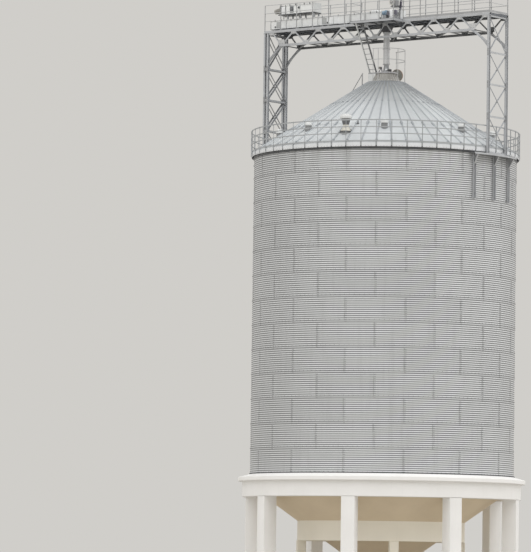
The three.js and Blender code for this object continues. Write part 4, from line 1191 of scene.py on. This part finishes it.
def drive():
    """Motor, coupling and gear box on a channel base, with a wheel each side of the box."""
    y, base, half = -0.4, 26.88, 0.12
    left, right, foot = 0.11, 0.755, DECK_TOP + CLEARANCE
    parts = fitted("steel", block((left, y - half, base - 0.04), (right, y + half, base - 0.03)),
                   block((left, y - half, base - 0.04), (right, y - half + 0.01, base), 0.002),
                   block((left, y + half - 0.01, base - 0.04), (right, y + half, base), 0.002),
                   block((left + 0.04, y - half, foot), (left + 0.12, y + half, base - 0.03), 0.004),
                   block((right - 0.12, y - half, foot), (right - 0.04, y + half, base - 0.03), 0.004),
                   block((0.12, y - 0.09, base - 0.03), (0.31, y + 0.09, 27.03), 0.006),
                   block((0.79, y - 0.1, foot), (0.88, y + 0.01, 27.09), 0.004),
                   drum(0.04, 0.17, (0.42, y, 27.13), "X", 16))
    parts += motor(0.065, 0.345, y, 27.13, 0.105, "motor")
    parts += fitted("new_paint", block((0.495, y - 0.11, base - 0.03), (0.73, y + 0.11, 27.25), 0.02),
                    block((0.52, y - 0.125, 26.93), (0.7, y - 0.1, 27.2), 0.01))
    for x, level, radius in ((0.45, 27.08, 0.09), (0.84, 27.11, 0.12)):
        for share, thick, finish in ((1, 0.05, "wheel"), (0.7, 0.062, "guard_paint"), (0.25, 0.08, "dim_steel")):
            parts += fitted(finish, drum(radius * share, thick, (x, y - half, level), "Y", 28, 0.005))
        parts += fitted("steel", drum(0.03, 0.36, (x, y + 0.02, level), "Y", 12))
    for x in (0.54, 0.69):
        parts += fitted("bolt", *(drum(0.012, 0.02, (x, y - 0.13, z), "Y", 6) for z in (26.96, 27.19)))
    placed(joined(parts), "drive_unit", "drive_paint", "conveyor_drive", degrees=30)


def head_unit():
    """A six-sided gear case with a ring on its face, a gray motor box beside it, and a dark post."""
    x, y, level = 0.46, -0.2, 27.63
    parts = fitted("case", drum(0.165, 0.2, (x, y, level), "Y", 6, 0.012),
                   drum(0.035, 0.05, (x, y - 0.11, level), "Y", 16, 0.004))
    parts += fitted("board", drum(0.085, 0.03, (x, y - 0.105, level), "Y", 24, 0.006))
    parts += fitted("shade_steel", drum(0.06, 0.04, (x, y - 0.105, level), "Y", 24, 0.004))
    parts += fitted("dark_steel", block((0.42, -0.31, 27.405), (0.98, 0.01, 27.438), 0.004))
    parts += fitted("dim_steel", block((0.44, -0.26, 27.43), (0.68, 0, 27.82), 0.02),
                    *(block((0.6, -0.267, z), (0.67, -0.26, z + 0.03)) for z in (27.55, 27.63, 27.71)))
    post = channel_section(0.09, 0.06, 0.007)
    foot, change = DECK_TOP + CLEARANCE, Vector((0.972, -0.32, 27.22))
    parts += fitted("rail", run(post, (0.94, -0.32, foot + 0.002), change, (1, 0, 0)))
    parts += fitted("guard_paint", run(post, change, (1.02, -0.32, 27.68), (1, 0, 0)))
    parts += fitted("new_paint", block((0.765, -0.37, foot), (0.85, -0.27, foot + 0.2), 0.01))
    dropped(post)
    placed(joined(parts), "head_unit", "conveyor_paint", "head_motor", degrees=30)


def spout():
    """A flanged pipe under a square hopper, and the gate where it meets the collar."""
    radius, top, bottom = 0.145, TOP_CHORD[0] - CLEARANCE, COLLAR_TOP + CLEARANCE
    depth, mouth, neck_top = 0.3, 0.235, COLLAR_TOP + 0.37
    funnel = drum(radius * math.sqrt(2), depth, (0, 0, top - depth / 2), sides=4, top=mouth * math.sqrt(2))
    funnel.data.transform(about_axis(math.pi / 4))
    parts = fitted("dark_steel", funnel, block((-mouth - 0.02, -mouth - 0.02, top - 0.012),
                                               (mouth + 0.02, mouth + 0.02, top), 0.003))
    length = top - depth + 0.01 - neck_top
    parts += fitted("pipe", drum(radius, length, (0, 0, neck_top + length / 2), sides=40))
    for z, reach in ((26.27, 0.045), (25.52, 0.03), (neck_top + 0.02, 0.02)):
        parts += fitted("pipe", *(drum(radius + reach, 0.014, (0, 0, z + lift), sides=40, edge=0.002)
                                  for lift in (-0.009, 0.009)))
        bolt = drum(0.009, 0.05, (radius + reach * 0.6, 0, z), sides=6)
        parts += fitted("bolt", *ring(bolt, 12, math.pi / 6))
        dropped(bolt)

    # A cone with a sight glass takes the pipe down to the collar, between the gate's legs and its lever
    neck = neck_top - bottom
    parts += fitted("steel", drum(0.16, neck, (0, 0, bottom + neck / 2), sides=40, top=0.105),
                    drum(0.2, 0.03, (0, 0, bottom + 0.015), sides=40, edge=0.004))
    parts += fitted("new_paint", drum(0.045, 0.08, (0.09, -0.13, bottom + 0.13), "Y", 16, 0.006))
    leg = tube_section(0.032)
    top_of_legs = Vector((-0.24, -0.06, bottom + 0.27))
    for x, y in ((-0.36, -0.12), (-0.24, 0.04), (-0.13, -0.16)):
        parts += fitted("guard_paint", run(leg, (x, y, bottom + 0.0002), top_of_legs))
    dropped(leg)
    parts += fitted("motor_gray", block((-0.37, -0.13, bottom + 0.2), (-0.25, 0.02, bottom + 0.29), 0.008))
    parts += fitted("rubber", block((0.16, -0.09, bottom + 0.03), (0.27, 0.05, bottom + 0.15), 0.012),
                    block((0.1, -0.04, bottom + 0.03), (0.2, 0.02, bottom + 0.07), 0.004))
    placed(joined(parts), "grain_spout", "structural_steel", "spout", degrees=30)


# Peak

def collar():
    """The ribbed cone with its top, the bright bolts at its foot, and the ladder's landing."""
    ribs, under, land = COLLAR_RIBS, COLLAR_TOP - 0.06, COLLAR_FOOT
    cone = turned([(0.62, land), (0.67, land), (0.672, land + 0.03), (0.655, land + 0.045),
                   (0.45, under + 0.001), (0.42, under + 0.001)], JOINTS)
    edge = turned([(0.42, under), (0.49, under), (0.5, under + 0.01), (0.5, COLLAR_TOP - 0.006),
                   (0.494, COLLAR_TOP), (0.12, COLLAR_TOP), (0.12, COLLAR_TOP - 0.02),
                   (0.42, COLLAR_TOP - 0.02)], JOINTS)
    rib = plate([(0.655, -0.006, land + 0.045), (0.672, -0.006, land + 0.03), (0.49, -0.006, under),
                 (0.45, -0.006, under)], (0, 0.012, 0))
    bolt = drum(0.016, 0.02, polar(0.648, 0.1, land + 0.055), sides=6)
    # The cone is coated darker than the edge above it: painted shade under the top's edge
    parts = fitted("cone", cone, *ring(rib, ribs, 2 * math.pi / ribs))
    parts += fitted("collar", edge)
    parts += fitted("new_paint", *ring(bolt, ribs, 2 * math.pi / ribs))
    parts += fitted("board", block((-0.72, -0.42, under), (-0.3, -0.18, COLLAR_TOP), 0.004))
    parts += fitted("vent", block((-0.72, -0.42, land + 0.05), (-0.3, -0.404, under + 0.002), 0.004))
    parts += fitted("new_paint", block((-0.16, -0.44, land + 0.05), (-0.11, -0.4, COLLAR_TOP - 0.01), 0.004))
    dropped(rib, bolt)
    placed(joined(parts), "roof_collar", "roof_sheet", "peak_collar", degrees=30)


def hatch_lid():
    """The round lid with its rusty rim, standing open on a swing arm."""
    reach, level, tilt, swing = 0.74, 24.38, math.radians(78), math.radians(18)
    turn = about_axis(6.5 * 2 * math.pi / COLLAR_RIBS)
    leaf = about_axis(swing) @ Matrix.Rotation(tilt, 4, "Y")
    lid = fitted("lid", drum(0.28, 0.012, (0, 0, -0.008), sides=40),
                 drum(0.2, 0.014, (0, 0, 0.003), sides=32, top=0.15),
                 drum(0.1, 0.012, (0, 0, -0.018), sides=24, edge=0.003))
    lid += fitted("rust", hollow(drum(0.283, 0.05, (0, 0, 0), sides=40), 0.014))
    lid += fitted("dark_steel", block((-0.02, 0.06, 0.006), (0.02, 0.075, 0.03), 0.003),
                  drum(0.012, 0.16, (-0.26, 0, 0.014), "Y", 10))
    for part in lid:
        part.data.transform(turn @ Matrix.Translation((reach, 0, level)) @ leaf)
    arm = block((0.5, -0.035, COLLAR_TOP - 0.024), (reach, 0.035, COLLAR_TOP - 0.004), 0.003)
    arm.data.transform(turn)
    placed(joined([*lid, coat(arm, "dark_steel")]), "hatch_lid", "lid_steel", "peak_hatch_lid", degrees=30)


def peak_hoops():
    """Two open hoops round the peak, on posts that stand on the roof."""
    tube = tube_section(0.026)
    reach, levels, steps = 0.85, (24.97, 25.47), 30
    first, last = math.radians(-104), math.radians(96)
    parts = []
    for level in levels:
        for k in range(steps):
            a, b = (first + (last - first) * t / steps for t in (k, k + 1))
            parts.append(run(tube, polar(reach, a, level), polar(reach, b, level)))
    foot = roof_height(0.837 / math.cos(STEP / 2)) + CLEARANCE
    posts = (-15.5, -12.5, -2.5, 5.5, 14.5)
    for angle in (k * STEP for k in posts):
        parts.append(run(tube, polar(reach, angle, foot), polar(reach, angle, levels[1]), (1, 0, 0)))
        parts.append(drum(0.03, 0.012, polar(reach, angle, foot + 0.012), sides=12))
    dropped(tube)
    placed(coat(joined(parts), "rail"), "peak_hoops", "structural_steel", "peak_guard_rail", degrees=30)


def ladder():
    """A leaning ladder from the collar's landing to the side platform."""
    x, half, rungs, pitch = -0.525, 0.185, 9, 0.254
    foot, head = Vector((0, -0.3, COLLAR_TOP + 0.0005)), Vector((0, -1.4305, 26.6))
    along = (head - foot).normalized()
    stile = channel_section(0.06, 0.045, 0.006)
    rung = tube_section(0.026)
    parts = []
    # One stile is painted light (pale) and the other painted shade (dark), as the light falls on them
    for side, finish in ((-half, "vent"), (half, "shade_steel")):
        shift = Vector((x + side, 0, 0))
        parts += fitted(finish, run(stile, foot + shift, head + shift, (0, 1, 0), mirror=side > 0))
        low, high = foot.z - 0.0001, foot.z + 0.01
        parts += fitted("steel", block((x + side - 0.03, -0.35, low), (x + side + 0.03, -0.25, high)))
    for k in range(rungs):
        at = foot + along * (0.16 + pitch * k)
        parts += fitted("steel", run(rung, at + Vector((x - half, 0, 0)), at + Vector((x + half, 0, 0))))
    dropped(stile, rung)
    placed(joined(parts), "gallery_ladder", "structural_steel", "peak_ladder", degrees=30)


def stair_bed(radius, lift=0.0):
    """The height of the ribs' tops under the stair, and above."""
    rib_top = 0.045 / math.cos(math.atan(ROOF_SLOPE)) + 0.001
    return roof_height(radius / math.cos(STEP / 2)) + rib_top + lift


def stair():
    """The roof stair: two stringers with grating treads, a landing, and a handrail each side."""
    turn = about_axis(23.5 * STEP)
    half, foot, head, bed = 0.4, 5.88, 1.4, stair_bed
    near, far, landing = 0.9, 1.6, 24.0
    stringer = channel_section(0.16, 0.04, 0.006)
    parts = []
    for y in (-half, half):
        parts.append(run(stringer, (foot, y, bed(foot, 0.1)), (head, y, bed(head, 0.1))))
        corners = [(head, bed(head)), (head + 0.2, bed(head + 0.2)), (head + 0.2, 24.02), (head, 24.02)]
        parts.append(plate([(x, y - 0.02, z) for x, z in corners], (0, 0.04, 0)))
    tread, pitch = 0.11, 0.3
    at = head + 0.15
    while at < foot - 0.15:
        level = bed(at - tread) + 0.04
        for k in range(6):
            x = at - tread + 0.044 * k
            parts.append(block((x - 0.003, -half + 0.01, level - 0.028), (x + 0.003, half - 0.01, level)))
        low, high = level - 0.026, level - 0.002
        for y in (-0.39, -0.2, 0, 0.2, 0.39):
            parts.append(block((at - tread, y - 0.003, low), (at + tread, y + 0.003, high)))
        at += pitch
    for at in (2.0, 3.8, 5.6):
        corners = [(at - 0.04, 0), (at + 0.04, 0), (at + 0.04, 0.06), (at - 0.04, 0.06)]
        parts.append(plate([(x, -half, bed(x, lift)) for x, lift in corners], (0, 2 * half, 0)))
    parts.append(block((near, -0.42, landing), (far, 0.42, landing + 0.006)))
    for y in (-0.415, 0.415):
        parts.append(block((near, y - 0.005, landing), (far, y + 0.005, landing + 0.04)))
    flight = joined(parts)
    flight.data.transform(turn)
    placed(coat(flight, "steel"), "stair_flight", "structural_steel", "roof_stair", degrees=25)

    tube = tube_section(0.034)
    upright = angle_section(0.04, 0.005)
    for y, name in ((half, "left"), (-half, "right")):
        parts = [run(tube, (1.7, y, bed(1.7, lift)), (5.8, y, bed(5.8, lift))) for lift in (0.55, 1.1)]
        for at in (1.75, 2.75, 3.75, 4.75, 5.75):
            parts.append(run(upright, (at, y, bed(at, 0.185)), (at, y, bed(at, 1.11)), (1, 0, 0)))
        rails = coat(joined(parts), "rail")
        rails.data.transform(turn)
        placed(rails, f"stair_rail_{name}", "structural_steel", f"stair_handrail_{name}", degrees=25)
    dropped(stringer, tube, upright)


def vent(profiles, base, radius, angle, name, stands_for, flange):
    """A vent from its profiles, on a flange that lies on the roof's slope."""
    slope = math.atan(ROOF_SLOPE / math.cos(STEP / 2))
    foot = drum(base, 0.012, (0, 0, 0), sides=24)
    foot.data.transform(Matrix.Rotation(slope, 4, "Y") @ Matrix.Translation((0, 0, 0.008)))
    piece = joined([coat(foot, flange), *(coat(turned(profile, 24, closed=False), finish)
                                          for profile, finish in profiles)])
    spot = polar(radius, angle, roof_height(radius / math.cos(STEP / 2)))
    piece.data.transform(Matrix.Translation(spot) @ about_axis(angle))
    placed(piece, name, "roof_sheet", stands_for, degrees=35)


def vents():
    """Eight small roof vents with domed caps, and a tall one that flares to its dome."""
    stack = [(0, -0.06), (0.145, -0.06), (0.145, 0.2), (0, 0.2)]
    cap = [(0, 0.195), (0.14, 0.195), (0.168, 0.19), (0.17, 0.27), (0.125, 0.35), (0.05, 0.38), (0, 0.38)]
    # The stacks are darker than the caps: painted shade under each cap
    for k in range(8):
        vent([(stack, "dim_steel"), (cap, "vent")], 0.165, 4.85, -8.5 * STEP + k * math.pi / 4,
             f"small_vent_{k + 1}", f"roof_vent_{k + 1}", "rib")
    foot = [(0, -0.08), (0.225, -0.08), (0.235, 0.03), (0, 0.03)]
    neck = [(0, 0.02), (0.235, 0.02), (0.225, 0.06), (0.15, 0.2), (0.135, 0.31), (0, 0.31)]
    flare = [(0, 0.3), (0.135, 0.3), (0.215, 0.58), (0, 0.58)]
    dome = [(0, 0.575), (0.265, 0.575), (0.275, 0.6), (0.275, 0.66), (0.24, 0.745), (0.1, 0.795), (0, 0.8)]
    # The foot and the flare are painted shade, and the near-black flange round the foot is painted shadow
    vent([(foot, "shade_steel"), (neck, "neck"), (flare, "shade_steel"), (dome, "vent")], 0.27, 5.2,
         -11.5 * STEP, "tall_vent", "tall_roof_vent", "dark_steel")


def stage():
    """Plain pale floor and soft light."""
    bpy.ops.mesh.primitive_plane_add(size=900, location=(0, 0, -0.002))
    floor = settle()
    floor.name = "floor"
    pale = Finish("pale_floor", 0.0, 0.2)
    colour = pale.mix(pale.noise(0.2), (0.51, 0.49, 0.455), (0.47, 0.45, 0.415))
    floor.data.materials.append(pale.done(colour, pale.noise(2.0).fade(0, 1, 0.85, 0.95)))

    world = bpy.data.worlds.new("overcast")
    world.use_nodes = True
    background = world.node_tree.nodes["Background"]
    background.inputs["Color"].default_value = (0.664, 0.65, 0.62, 1)
    background.inputs["Strength"].default_value = 0.95
    bpy.context.scene.world = world
    suns = (("sky", 1.3, 100, 50, 78), ("left key", 0.6, 90, -5, 40), ("right key", 0.8, 90, 128, 38))
    for name, strength, spread, azimuth, height in suns:
        lamp = bpy.data.lights.new(name, "SUN")
        lamp.energy = strength
        lamp.angle = math.radians(spread)
        lamp.color = (0.97, 0.985, 1.0)
        holder = bpy.data.objects.new(name, lamp)
        a, e = math.radians(azimuth), math.radians(height)
        towards = Vector((math.sin(a) * math.cos(e), -math.cos(a) * math.cos(e), math.sin(e)))
        holder.rotation_mode = "QUATERNION"
        holder.rotation_quaternion = towards.to_track_quat("Z", "Y")
        bpy.context.scene.collection.objects.link(holder)
    bpy.context.scene.view_settings.view_transform = "Standard"


base()
wall()
wall_foot()
roof()
guard_rail()
towers()
ledges()
truss(-TRUSS_Y, "near_truss", "gallery_truss_near", "chord", "rail")
truss(TRUSS_Y, "far_truss", "gallery_truss_far", "shade_steel", "shade_steel")
deck()
bottom_bracing()
platform()
railings()
conveyor()
upper_conveyor()
drive()
head_unit()
spout()
collar()
hatch_lid()
peak_hoops()
ladder()
stair()
vents()
stage()
